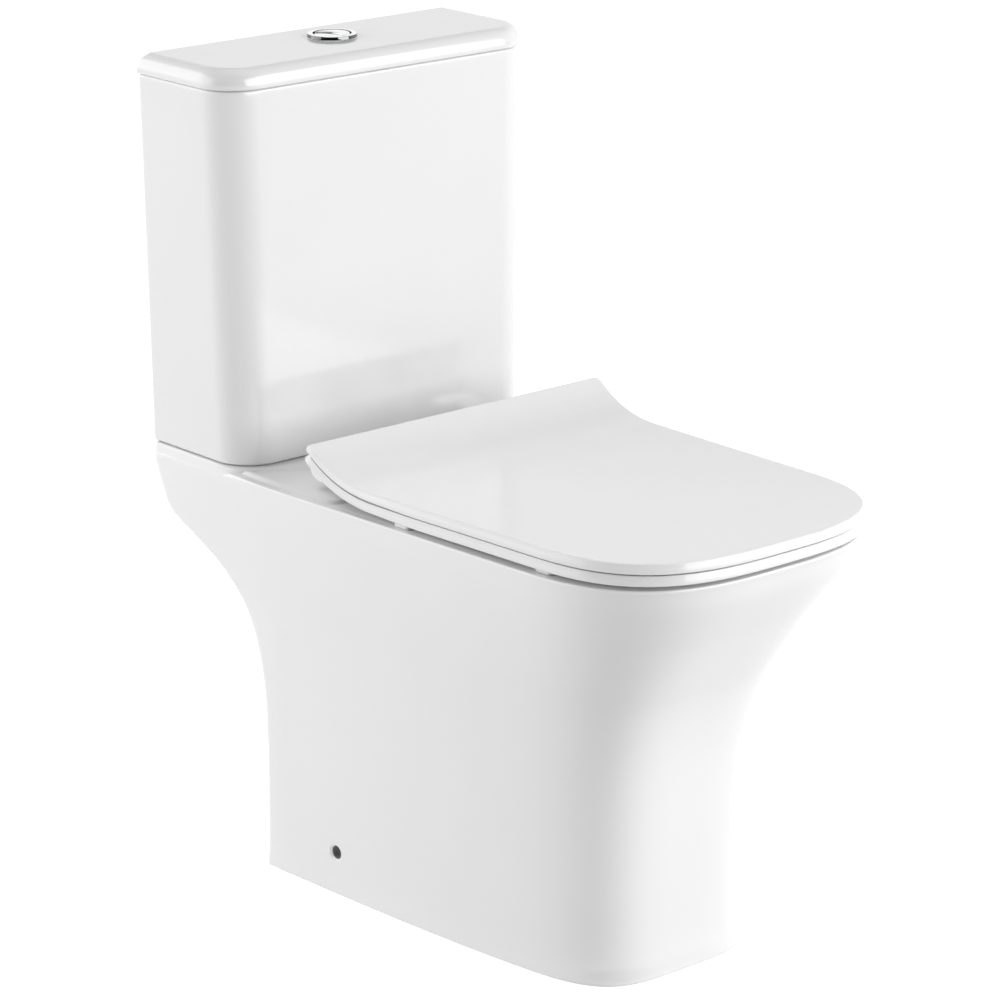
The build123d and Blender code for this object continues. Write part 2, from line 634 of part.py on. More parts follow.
with BuildPart() as fill_valve_seal:
    with BuildSketch(Plane.XY.offset(Z_FLOOR)):
        with Locations((FILL_X, FILL_Y)):
            Circle(20.0)
            Circle(10.4, mode=Mode.SUBTRACT)
    extrude(amount=3.0)
fill_valve_seal.part.label = "fill_valve_seal"
export_step(fill_valve_seal.part, "parts/fill_valve_seal.step")

with BuildPart() as fill_valve_backnut:
    with BuildSketch(Plane.XY.offset(397.0)):
        with Locations((FILL_X, FILL_Y)):
            RegularPolygon(19.0, 6)
            Circle(10.4, mode=Mode.SUBTRACT)
    extrude(amount=11.0)
fill_valve_backnut.part.label = "fill_valve_backnut"
export_step(fill_valve_backnut.part, "parts/fill_valve_backnut.step")

with BuildPart() as fill_valve_float:
    with BuildSketch(Plane.XY.offset(540.0)):
        with Locations((FILL_X, FILL_Y)):
            Circle(31.0)
            Circle(14.5, mode=Mode.SUBTRACT)
    extrude(amount=62.0)
    # open underside of the float cup
    with BuildSketch(Plane.XY.offset(540.0)):
        with Locations((FILL_X, FILL_Y)):
            Circle(28.5)
            Circle(17.0, mode=Mode.SUBTRACT)
    extrude(amount=58.0, mode=Mode.SUBTRACT)
    with Locations((FILL_X - 26.0, FILL_Y, 600.0)):
        Cylinder(2.2, 64.0, align=(Align.CENTER, Align.CENTER, Align.MIN))
fill_valve_float.part.label = "fill_valve_float"
export_step(fill_valve_float.part, "parts/fill_valve_float.step")

with BuildPart() as fill_valve_arm:
    with BuildSketch(Plane.XZ.offset(-(FILL_Y + 4.0))):
        with BuildLine():
            Polyline((FILL_X - 29.0, 668.0), (FILL_X + 3.0, 674.5), (FILL_X + 12.0, 674.5), (FILL_X + 12.0, 665.5), (FILL_X + 3.0, 665.5), (FILL_X - 29.0, 665.4), (FILL_X - 29.0, 668.0))
        make_face()
        with Locations((FILL_X + 8.0, 670.0)):
            Circle(2.05, mode=Mode.SUBTRACT)
    extrude(amount=8.0)
fill_valve_arm.part.label = "fill_valve_arm"
export_step(fill_valve_arm.part, "parts/fill_valve_arm.step")

# ---------------------------------------------------------------- cistern coupling
with BuildPart() as coupling_bolts:
    with Locations((-CPL_X, CPL_Y, 352.0), (CPL_X, CPL_Y, 352.0)):
        Cylinder(4.0, 73.0, align=(Align.CENTER, Align.CENTER, Align.MIN))
    with Locations((-CPL_X, CPL_Y, 425.0), (CPL_X, CPL_Y, 425.0)):
        Cylinder(8.5, 5.0, align=(Align.CENTER, Align.CENTER, Align.MIN))
    with Locations((-CPL_X, CPL_Y, 429.0), (CPL_X, CPL_Y, 429.0)):
        Box(20.0, 1.6, 4.0, mode=Mode.SUBTRACT)
coupling_bolts.part.label = "coupling_bolts"
export_step(coupling_bolts.part, "parts/coupling_bolts.step")

with BuildPart() as coupling_bolt_seals:
    for sx in (-CPL_X, CPL_X):
        with BuildSketch(Plane.XZ.offset(-CPL_Y)):
            with BuildLine():
                Polyline((sx + 4.0, Z_FLOOR), (sx + 15.0, Z_FLOOR), (sx + 12.0, 425.0), (sx + 4.0, 425.0), (sx + 4.0, Z_FLOOR))
            make_face()
        revolve(axis=Axis((sx, CPL_Y, 0), (0, 0, 1)))
coupling_bolt_seals.part.label = "coupling_bolt_seals"
export_step(coupling_bolt_seals.part, "parts/coupling_bolt_seals.step")

with BuildPart() as coupling_washers:
    with BuildSketch(Plane.XY.offset(389.0)):
        with Locations((-CPL_X, CPL_Y), (CPL_X, CPL_Y)):
            Circle(14.0)
            Circle(4.0, mode=Mode.SUBTRACT)
    extrude(amount=2.0)
coupling_washers.part.label = "coupling_washers"
export_step(coupling_washers.part, "parts/coupling_washers.step")

with BuildPart() as coupling_wing_nuts:
    with BuildSketch(Plane.XY.offset(380.0)):
        with Locations((-CPL_X, CPL_Y), (CPL_X, CPL_Y)):
            Circle(9.0)
            Rectangle(5.0, 38.0)
            Circle(4.0, mode=Mode.SUBTRACT)
    extrude(amount=9.0)
coupling_wing_nuts.part.label = "coupling_wing_nuts"
export_step(coupling_wing_nuts.part, "parts/coupling_wing_nuts.step")

# ---------------------------------------------------------------- seat hinges
with BuildPart() as seat_hinge_posts:
    for sx in (-HINGE_X, HINGE_X):
        with Locations((sx, HINGE_Y, Z_DECK + 1.0)):
            Cylinder(13.0, 4.0, align=(Align.CENTER, Align.CENTER, Align.MIN))
            Box(22.0, 19.0, 17.0, align=(Align.CENTER, Align.CENTER, Align.MIN))
        with Locations((sx, HINGE_Y, HINGE_Z)):
            Cylinder(11.5, 25.0, rotation=(0, 90, 0))
    with Locations((0, HINGE_Y, HINGE_Z)):
        Cylinder(PIN_R, 300.0, rotation=(0, 90, 0), mode=Mode.SUBTRACT)
    with Locations((-HINGE_X, HINGE_Y, Z_DECK), (HINGE_X, HINGE_Y, Z_DECK)):
        Cylinder(3.5, 417.0 - Z_DECK, align=(Align.CENTER, Align.CENTER, Align.MIN), mode=Mode.SUBTRACT)
seat_hinge_posts.part.label = "seat_hinge_posts"
export_step(seat_hinge_posts.part, "parts/seat_hinge_posts.step")

with BuildPart() as seat_hinge_pins:
    with Locations((-82.0, HINGE_Y, HINGE_Z), (82.0, HINGE_Y, HINGE_Z)):
        Cylinder(PIN_R, 110.0, rotation=(0, 90, 0))
seat_hinge_pins.part.label = "seat_hinge_pins"
export_step(seat_hinge_pins.part, "parts/seat_hinge_pins.step")

DAMP_R = 9.2
with BuildPart() as seat_dampers:
    with Locations((-116.0, HINGE_Y, HINGE_Z), (116.0, HINGE_Y, HINGE_Z)):
        Cylinder(DAMP_R, 48.0, rotation=(0, 90, 0))
        Cylinder(PIN_R + 0.05, 48.0, rotation=(0, 90, 0), mode=Mode.SUBTRACT)
seat_dampers.part.label = "seat_dampers"
export_step(seat_dampers.part, "parts/seat_dampers.step")

with BuildPart() as lid_dampers:
    with Locations((-43.5, HINGE_Y, HINGE_Z), (43.5, HINGE_Y, HINGE_Z)):
        Cylinder(DAMP_R, 37.0, rotation=(0, 90, 0))
        Cylinder(PIN_R + 0.05, 37.0, rotation=(0, 90, 0), mode=Mode.SUBTRACT)
lid_dampers.part.label = "lid_dampers"
export_step(lid_dampers.part, "parts/lid_dampers.step")

with BuildPart() as hinge_studs:
    with Locations((-HINGE_X, HINGE_Y, 352.0), (HINGE_X, HINGE_Y, 352.0)):
        Cylinder(3.5, 65.0, align=(Align.CENTER, Align.CENTER, Align.MIN))
hinge_studs.part.label = "hinge_studs"
export_step(hinge_studs.part, "parts/hinge_studs.step")

with BuildPart() as hinge_deck_pads:
    with BuildSketch(Plane.XY.offset(Z_DECK)):
        with Locations((-HINGE_X, HINGE_Y), (HINGE_X, HINGE_Y)):
            Circle(14.0)
            Circle(3.5, mode=Mode.SUBTRACT)
    extrude(amount=1.0)
hinge_deck_pads.part.label = "hinge_deck_pads"
export_step(hinge_deck_pads.part, "parts/hinge_deck_pads.step")

with BuildPart() as hinge_lower_washers:
    with BuildSketch(Plane.XY.offset(387.0)):
        with Locations((-HINGE_X, HINGE_Y), (HINGE_X, HINGE_Y)):
            Circle(13.0)
            Circle(3.5, mode=Mode.SUBTRACT)
    extrude(amount=4.0)
hinge_lower_washers.part.label = "hinge_lower_washers"
export_step(hinge_lower_washers.part, "parts/hinge_lower_washers.step")

with BuildPart() as hinge_nuts:
    with BuildSketch(Plane.XY.offset(375.0)):
        with Locations((-HINGE_X, HINGE_Y), (HINGE_X, HINGE_Y)):
            RegularPolygon(11.0, 6)
            Circle(3.5, mode=Mode.SUBTRACT)
    extrude(amount=12.0)
hinge_nuts.part.label = "hinge_nuts"
export_step(hinge_nuts.part, "parts/hinge_nuts.step")

# ---------------------------------------------------------------- seat ring
with BuildPart() as seat_ring:
    with BuildSketch(Plane.YZ):
        with BuildLine():
            up = offset_profile(RING_UPPER, 95.5, RING_TAIL_UP)
            lo = offset_profile(RING_LOWER, 95.5, RING_TAIL_LO)
            Spline(*up)
            Line(up[-1], lo[-1])
            Spline(*reversed(lo))
            Line(lo[0], up[0])
        make_face()
    extrude(amount=185.0, both=True)
    with BuildSketch(Plane.XY.offset(380.0)):
        with BuildLine():
            side, wr = seat_outline(108.0, 0.0, 9.0)
            Spline(*side)
            Polyline(side[-1], (wr - 9.0, 108.0), (-wr + 9.0, 108.0), side[0])
        make_face()
    extrude(amount=90.0, mode=Mode.INTERSECT)
    # opening of the seat
    with BuildSketch(Plane.XY.offset(380.0)):
        with BuildLine():
            Spline(*bowl_outline(108.0, -272.0, 22.0, 2.6), periodic=True)
        make_face()
    extrude(amount=90.0, mode=Mode.SUBTRACT)
    # room behind the tail for the lid arms and the posts
    with Locations((0, 118.0, 440.0)):
        Box(182.0, 44.0, 80.0, mode=Mode.SUBTRACT)
    # knuckles with their webs
    for s in (-1, 1):
        with BuildSketch(Plane.YZ.offset(s * 148.0)):
            with Locations((HINGE_Y, HINGE_Z)):
                Circle(KNUCKLE_R)
            with BuildLine():
                Polyline((62.0, 418.6), (80.0, 427.6), (97.0, 438.6), (103.5, 443.0), (112.0, 439.2), (118.0, 424.0),
                         (112.0, 410.8), (102.0, 411.6), (84.0, 416.0), (62.0, 415.0), (62.0, 418.6))
            make_face()
        extrude(amount=-s * 57.0)
    with Locations((-116.0, HINGE_Y, HINGE_Z), (116.0, HINGE_Y, HINGE_Z)):
        Cylinder(DAMP_R, 50.2, rotation=(0, 90, 0), mode=Mode.SUBTRACT)
seat_ring.part.label = "seat_ring"
export_step(seat_ring.part, "parts/seat_ring.step")

BUF = [(-156.0, -22.0), (156.0, -22.0), (-150.0, -202.0), (150.0, -202.0)]
with BuildPart() as seat_buffers:
    for bx, by in BUF:
        zt = seat_top(by) - RING_LOWER
        with BuildSketch(Plane.XY.offset(Z_RIM + 0.3)):
            with Locations((bx, by)):
                RectangleRounded(12.0, 20.0, 4.0)
        extrude(amount=zt - Z_RIM - 0.3 + 1.6)
    with BuildSketch(Plane.YZ):
        with BuildLine():
            lo = offset_profile(RING_LOWER, 95.5, RING_TAIL_LO)
            Spline(*lo)
            Polyline(lo[-1], (lo[-1][0], 470.0), (lo[0][0], 470.0), lo[0])
        make_face()
    extrude(amount=185.0, both=True, mode=Mode.SUBTRACT)
seat_buffers.part.label = "seat_buffers"
export_step(seat_buffers.part, "parts/seat_buffers.step")

# ---------------------------------------------------------------- seat lid
with BuildPart() as seat_lid:
    with BuildSketch(Plane.YZ):
        with BuildLine():
            up = offset_profile(0.0, TAIL, 0.0)
            lo = offset_profile(LID_LOWER, TAIL, LID_TAIL)
            Spline(*up)
            Line(up[-1], lo[-1])
            Spline(*reversed(lo))
            Line(lo[0], up[0])
        make_face()
    extrude(amount=185.0, both=True)
    with BuildSketch(Plane.XY.offset(380.0)):
        with BuildLine():
            side, wr = seat_outline(108.0, 0.0, 18.0)
            Spline(*side)
            Polyline(side[-1], (wr - 12.0, 108.0), (-wr + 12.0, 108.0), side[0])
        make_face()
    extrude(amount=90.0, mode=Mode.INTERSECT)
    # arms down to the hinge barrels
    for s in (-1, 1):
        with BuildSketch(Plane.YZ.offset(s * 64.0)):
            with Locations((HINGE_Y, HINGE_Z)):
                Circle(13.0)
            with BuildLine():
                Polyline((90.0, 445.6), (96.0, 452.4), (105.0, 451.2), (111.5, 448.6), (119.0, 443.6), (126.5, 434.0), (118.0, 424.0),
                         (107.2, 429.0), (108.0, 437.0), (104.4, 444.4), (98.0, 446.9), (90.0, 445.6))
            make_face()
        extrude(amount=-s * 40.0)
    with Locations((-43.5, HINGE_Y, HINGE_Z), (43.5, HINGE_Y, HINGE_Z)):
        Cylinder(DAMP_R, 41.2, rotation=(0, 90, 0), mode=Mode.SUBTRACT)
    # pockets for the lid buffers
    with Locations((-110.0, -262.0, seat_top(-262.0) - LID_T), (110.0, -262.0, seat_top(-262.0) - LID_T)):
        Cylinder(6.0, 5.0, mode=Mode.SUBTRACT)
seat_lid.part.label = "seat_lid"
export_step(seat_lid.part, "parts/seat_lid.step")

with BuildPart() as lid_buffers:
    with Locations((-110.0, -262.0, seat_top(-262.0) - LID_T - 0.6), (110.0, -262.0, seat_top(-262.0) - LID_T - 0.6)):
        Cylinder(6.0, 3.1, align=(Align.CENTER, Align.CENTER, Align.MIN))
lid_buffers.part.label = "lid_buffers"
export_step(lid_buffers.part, "parts/lid_buffers.step")
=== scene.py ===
import json
import math

import bmesh
import bpy
import numpy as np
from mathutils import Matrix, Vector


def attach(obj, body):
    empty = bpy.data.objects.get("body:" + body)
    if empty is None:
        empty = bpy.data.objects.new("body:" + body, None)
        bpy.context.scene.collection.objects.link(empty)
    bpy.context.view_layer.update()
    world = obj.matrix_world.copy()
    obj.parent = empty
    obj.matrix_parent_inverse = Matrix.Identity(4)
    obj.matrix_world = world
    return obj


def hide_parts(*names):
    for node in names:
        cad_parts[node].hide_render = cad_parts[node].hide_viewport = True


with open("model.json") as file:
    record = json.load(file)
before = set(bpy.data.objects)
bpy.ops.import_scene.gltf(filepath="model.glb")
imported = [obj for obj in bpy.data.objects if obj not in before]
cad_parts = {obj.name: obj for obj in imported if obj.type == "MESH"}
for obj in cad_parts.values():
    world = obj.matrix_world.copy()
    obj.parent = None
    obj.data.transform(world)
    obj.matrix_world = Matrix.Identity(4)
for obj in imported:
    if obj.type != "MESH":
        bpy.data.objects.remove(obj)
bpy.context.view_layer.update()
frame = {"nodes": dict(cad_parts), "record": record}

MM = 0.001
pi = math.pi

# ------------------------------------------------------------------ dimensions (mm), as in the CAD
Y_BACK = 332.5
Z_RIM, Z_DECK, Z_SHELF = 402.6, 405.2, 407.3
HINGE_Y, HINGE_Z = 118.0, 424.0
CIS_Z0, CIS_Z1 = 407.8, 758.5
LID_Z0, LID_Z1 = 759.3, 778.4
BTN_Y = 275.8


# ------------------------------------------------------------------ small mesh tools
def new_object(name, verts, faces):
    me = bpy.data.meshes.new(name)
    me.from_pydata([tuple(v) for v in np.asarray(verts, float) * MM], [], faces)
    me.validate()
    me.update()
    ob = bpy.data.objects.new(name, me)
    bpy.context.scene.collection.objects.link(ob)
    bm = bmesh.new()
    bm.from_mesh(me)
    bmesh.ops.remove_doubles(bm, verts=bm.verts, dist=1e-7)
    bmesh.ops.recalc_face_normals(bm, faces=bm.faces)
    bm.to_mesh(me)
    bm.free()
    return ob


def loft_data(loops, cap0=True, cap1=True, base=0):
    n = len(loops[0])
    verts = np.vstack(loops)
    faces = []
    for j in range(len(loops) - 1):
        a, b = base + j * n, base + (j + 1) * n
        for i in range(n):
            k = (i + 1) % n
            faces.append((a + i, a + k, b + k, b + i))
    if cap0:
        faces.append(tuple(base + i for i in reversed(range(n))))
    if cap1:
        e = base + (len(loops) - 1) * n
        faces.append(tuple(e + i for i in range(n)))
    return verts, faces


def loft(name, loops, cap0=True, cap1=True):
    v, f = loft_data([np.asarray(l, float) for l in loops], cap0, cap1)
    return new_object(name, v, f)


def csg(a, b, op):
    """a op b, kept in a; b is removed."""
    mod = a.modifiers.new("csg", "BOOLEAN")
    mod.operation = op
    mod.object = b
    try:
        mod.solver = "MANIFOLD"
    except TypeError:
        mod.solver = "EXACT"
    bpy.context.view_layer.update()
    dg = bpy.context.evaluated_depsgraph_get()
    me = bpy.data.meshes.new_from_object(a.evaluated_get(dg))
    a.modifiers.clear()
    old = a.data
    a.data = me
    bpy.data.meshes.remove(old)
    bpy.data.objects.remove(b)
    return a


def smooth(ob, angle=32.0):
    me = ob.data
    me.polygons.foreach_set("use_smooth", np.ones(len(me.polygons), bool))
    me.set_sharp_from_angle(angle=math.radians(angle))
    me.update()
    return ob


def join(name, obs):
    verts, faces, off = [], [], 0
    for o in obs:
        co = np.zeros(len(o.data.vertices) * 3)
        o.data.vertices.foreach_get("co", co)
        verts.append(co.reshape(-1, 3) / MM)
        faces += [tuple(off + v for v in p.vertices) for p in o.data.polygons]
        off += len(o.data.vertices)
    out = new_object(name, np.vstack(verts), faces)
    for o in obs:
        bpy.data.objects.remove(o)
    return out


def pchip(xs, ys, x):
    """Monotone cubic through the points."""
    xs, ys, x = np.asarray(xs, float), np.asarray(ys, float), np.asarray(x, float)
    h, d = np.diff(xs), np.diff(ys) / np.diff(xs)
    m = np.zeros_like(ys)
    m[0], m[-1] = d[0], d[-1]
    for k in range(1, len(xs) - 1):
        if d[k - 1] * d[k] > 0:
            w1, w2 = 2 * h[k] + h[k - 1], h[k] + 2 * h[k - 1]
            m[k] = (w1 + w2) / (w1 / d[k - 1] + w2 / d[k])
    i = np.clip(np.searchsorted(xs, x) - 1, 0, len(xs) - 2)
    t = (x - xs[i]) / h[i]
    return ((1 + 2 * t) * (1 - t) ** 2 * ys[i] + t * (1 - t) ** 2 * h[i] * m[i]
            + t * t * (3 - 2 * t) * ys[i + 1] + t * t * (t - 1) * h[i] * m[i + 1])


def resample(pts, n, ends=True):
    """n points evenly along a polyline."""
    pts = np.asarray(pts, float)
    s = np.concatenate([[0], np.cumsum(np.linalg.norm(np.diff(pts, axis=0), axis=1))])
    u = np.linspace(0, s[-1], n) if ends else np.linspace(0, s[-1], n, endpoint=False)
    return np.stack([np.interp(u, s, pts[:, k]) for k in range(pts.shape[1])], 1)


def mirror_half(half):
    """Half loop from the front centre along the left side to the rear centre -> whole closed loop."""
    half = np.asarray(half, float)
    right = half[1:-1][::-1] * np.array([-1.0, 1.0])
    return np.vstack([half, right])


def inset_loop(loop, d):
    """Closed 2-D loop moved inwards by d along its normals."""
    t = np.roll(loop, -1, 0) - np.roll(loop, 1, 0)
    t /= np.linalg.norm(t, axis=1)[:, None] + 1e-12
    nrm = np.stack([t[:, 1], -t[:, 0]], 1)
    c = loop.mean(0)
    if ((c - loop) * nrm).sum() < 0:
        nrm = -nrm
    return loop + nrm * np.reshape(d, (-1, 1))


def at_z(loop, z):
    return np.column_stack([loop, np.full(len(loop), float(z))])


# ------------------------------------------------------------------ pan
FLARE = [(0, -.010), (6, -.022), (14, -.043), (25, -.060), (60, -.068), (100, -.068), (145, -.054), (190, -.015), (225, .049),
         (260, .157), (295, .339), (330, .553), (360, .761), (385, .914), (397, .966), (404, 1.0)]
REAR = [(-5, 225.5), (100, 225.5), (150, 225.5), (178, 226.6), (205, 229.5), (230, 233.8), (258, 243.0), (278, 255.5),
        (296, 271.0), (310, 289.5), (322, 308.0), (331, 322.0), (338, 329.4), (345, 332.0), (352, 332.5), (410, 332.5)]


def flare(z):
    return float(pchip([a for a, _ in FLARE], [b for _, b in FLARE], z))


def rear_y(z):
    return float(pchip([a for a, _ in REAR], [b for _, b in REAR], z))


def base_w(y):
    u = np.maximum(203.0 - y, 0.0) / 340.0
    return 134.5 - 12.0 * u - 11.0 * u ** 3


def rim_w(y):
    u = np.maximum((Y_BACK - y) / 592.0, 0.0)
    return 179.0 - 11.5 * u ** 1.6


def pan_loop(g, rear, rc, n1=150, n2=9, n3=14):
    y0, n, yf = -100.0 - 70.0 * g, 4.2 - 1.2 * g, -220.6 - 108.6 * g
    width = lambda y: base_w(y) * (1 - g) + rim_w(y) * g
    th = (np.linspace(0, 1, 1400) ** 1.0) * pi / 2
    th = np.concatenate([np.geomspace(1e-7, th[1], 60)[:-1], th[1:-1], pi / 2 - np.geomspace(1e-7, th[1], 60)[::-1][1:]])
    th = np.concatenate([[pi / 2], th[::-1], [0.0]])
    y = y0 + (yf - y0) * np.sin(th) ** (2 / n)
    front = np.column_stack([-width(y) * np.cos(th) ** (2 / n), y])
    front[0, 0] = 0.0
    ys = np.linspace(y0, rear - rc, 200)[1:]
    u = resample(np.vstack([front, np.column_stack([-width(ys), ys])]), n1)
    wc = float(width(np.array(rear - rc)))
    a = np.linspace(pi, pi / 2, n2 + 1)[1:]
    arc = np.column_stack([-wc + rc + rc * np.cos(a), rear - rc + rc * np.sin(a)])
    back = np.column_stack([np.linspace(-wc + rc, 0, n3 + 1)[1:], np.full(n3, rear)])
    return mirror_half(np.vstack([u, arc, back]))


def bowl_loop(hw, yf, yr, n, grow=0.0, count=168):
    cy, hl = (yf + yr) / 2.0, (yr - yf) / 2.0 + grow
    t = np.linspace(0, 2 * pi, 6001)
    c, s = np.cos(t), np.sin(t)
    pts = np.column_stack([(hw + grow) * np.abs(c) ** (2 / n) * np.sign(c), cy + hl * np.abs(s) ** (2 / n) * np.sign(s)])
    return resample(pts, count, ends=False)


BOWL = [(404.0, 121.0, -284.0, 46.0, 2.9), (372.0, 118.0, -280.0, 44.0, 2.8), (300.0, 104.0, -237.0, 36.0, 2.5),
        (220.0, 79.0, -194.0, 25.0, 2.3), (150.0, 59.0, -146.0, 19.0, 2.2), (90.0, 50.0, -104.0, 13.0, 2.1),
        (22.0, 46.0, -84.0, 9.0, 2.1)]


def bowl_at(z):
    zs = [b[0] for b in BOWL][::-1]
    return [float(pchip(zs, [b[k] for b in BOWL][::-1], z)) for k in (1, 2, 3, 4)]


def rounded_rect(w, yf, yb, rf, rb, n=(14, 14, 16, 8, 14)):
    """Closed loop, symmetric about X = 0: front straight, front corner, side, rear corner, rear straight."""
    nf, na, ns, nb, nr = n
    fr = np.column_stack([np.linspace(0, -w + rf, nf + 1), np.full(nf + 1, yf)])
    a = np.linspace(-pi / 2, -pi, na + 1)[1:]
    ca = np.column_stack([-w + rf + rf * np.cos(a), yf + rf + rf * np.sin(a)])
    sd = np.column_stack([np.full(ns, -w), np.linspace(yf + rf, yb - rb, ns + 1)[1:]])
    b = np.linspace(pi, pi / 2, nb + 1)[1:]
    cb = np.column_stack([-w + rb + rb * np.cos(b), yb - rb + rb * np.sin(b)])
    rr = np.column_stack([np.linspace(-w + rb, 0, nr + 1)[1:], np.full(nr, yb)])
    return mirror_half(np.vstack([fr, ca, sd, cb, rr]))


def circle_loop(c, r, u, v, n=64):
    a = np.linspace(0, 2 * pi, n, endpoint=False)
    return np.asarray(c, float) + r * (np.cos(a)[:, None] * np.asarray(u, float) + np.sin(a)[:, None] * np.asarray(v, float))


def cyl_z(x, y, z0, z1, r, n=64):
    return loft("cut", [circle_loop((x, y, z), r, (1, 0, 0), (0, 1, 0), n) for z in (z0, z1)])


def revolve_loops(axis_pt, axis, prof, n=96):
    """Loops of a revolved profile of (radius, height along the axis)."""
    ax = Vector(axis).normalized()
    u = ax.orthogonal().normalized()
    v = ax.cross(u)
    return [circle_loop(np.asarray(axis_pt, float) + h * np.asarray(ax), max(r, 1e-4), u, v, n) for r, h in prof]


def arc_pts(cx, cy, r, a0, a1, n):
    a = np.radians(np.linspace(a0, a1, n))
    return [(cx + r * math.cos(t), cy + r * math.sin(t)) for t in a]


TRAP_PATH = []


def trap_path():
    p = [(-60.0 + 3.6 * k, 62.0) for k in range(20)]
    p += [(11.43 + 62 * math.sin(t), 124 - 62 * math.cos(t)) for t in np.radians(np.linspace(2, 58.28, 16))]
    p += [(64.17 + (103.8 - 64.17) * k / 6, 91.4 + (155.6 - 91.4) * k / 6) for k in range(1, 6)]
    p += [(156.5 - 62 * math.sin(t), 123 + 62 * math.cos(t)) for t in np.radians(np.linspace(58.28, 2, 16))]
    p += [(156.5 + (252 - 156.5) * k / 10, 185.0) for k in range(0, 11)]
    return np.array(p)


def tube(name, path, r, n=64):
    t = np.gradient(path, axis=0)
    t /= np.linalg.norm(t, axis=1)[:, None]
    loops = []
    for (y, z), (ty, tz) in zip(path, t):
        loops.append(circle_loop((0, y, z), r, (1, 0, 0), (0, -tz, ty), n))
    return loft(name, loops)


def rim_z(y):
    """Height of the rim plane, which falls slightly towards the wall."""
    return Z_RIM + 0.0085 * (20.0 - np.asarray(y, float))


def tilt(loop, keep=0.0):
    """Loop near the rim moved onto the sloping rim plane; keep = 1 leaves it level."""
    out = np.array(loop, float)
    u = np.clip((out[:, 2] - 380.0) / (Z_RIM - 380.0), 0, 1)
    out[:, 2] += u * u * (3 - 2 * u) * (1 - keep) * (rim_z(out[:, 1]) - Z_RIM)
    return out


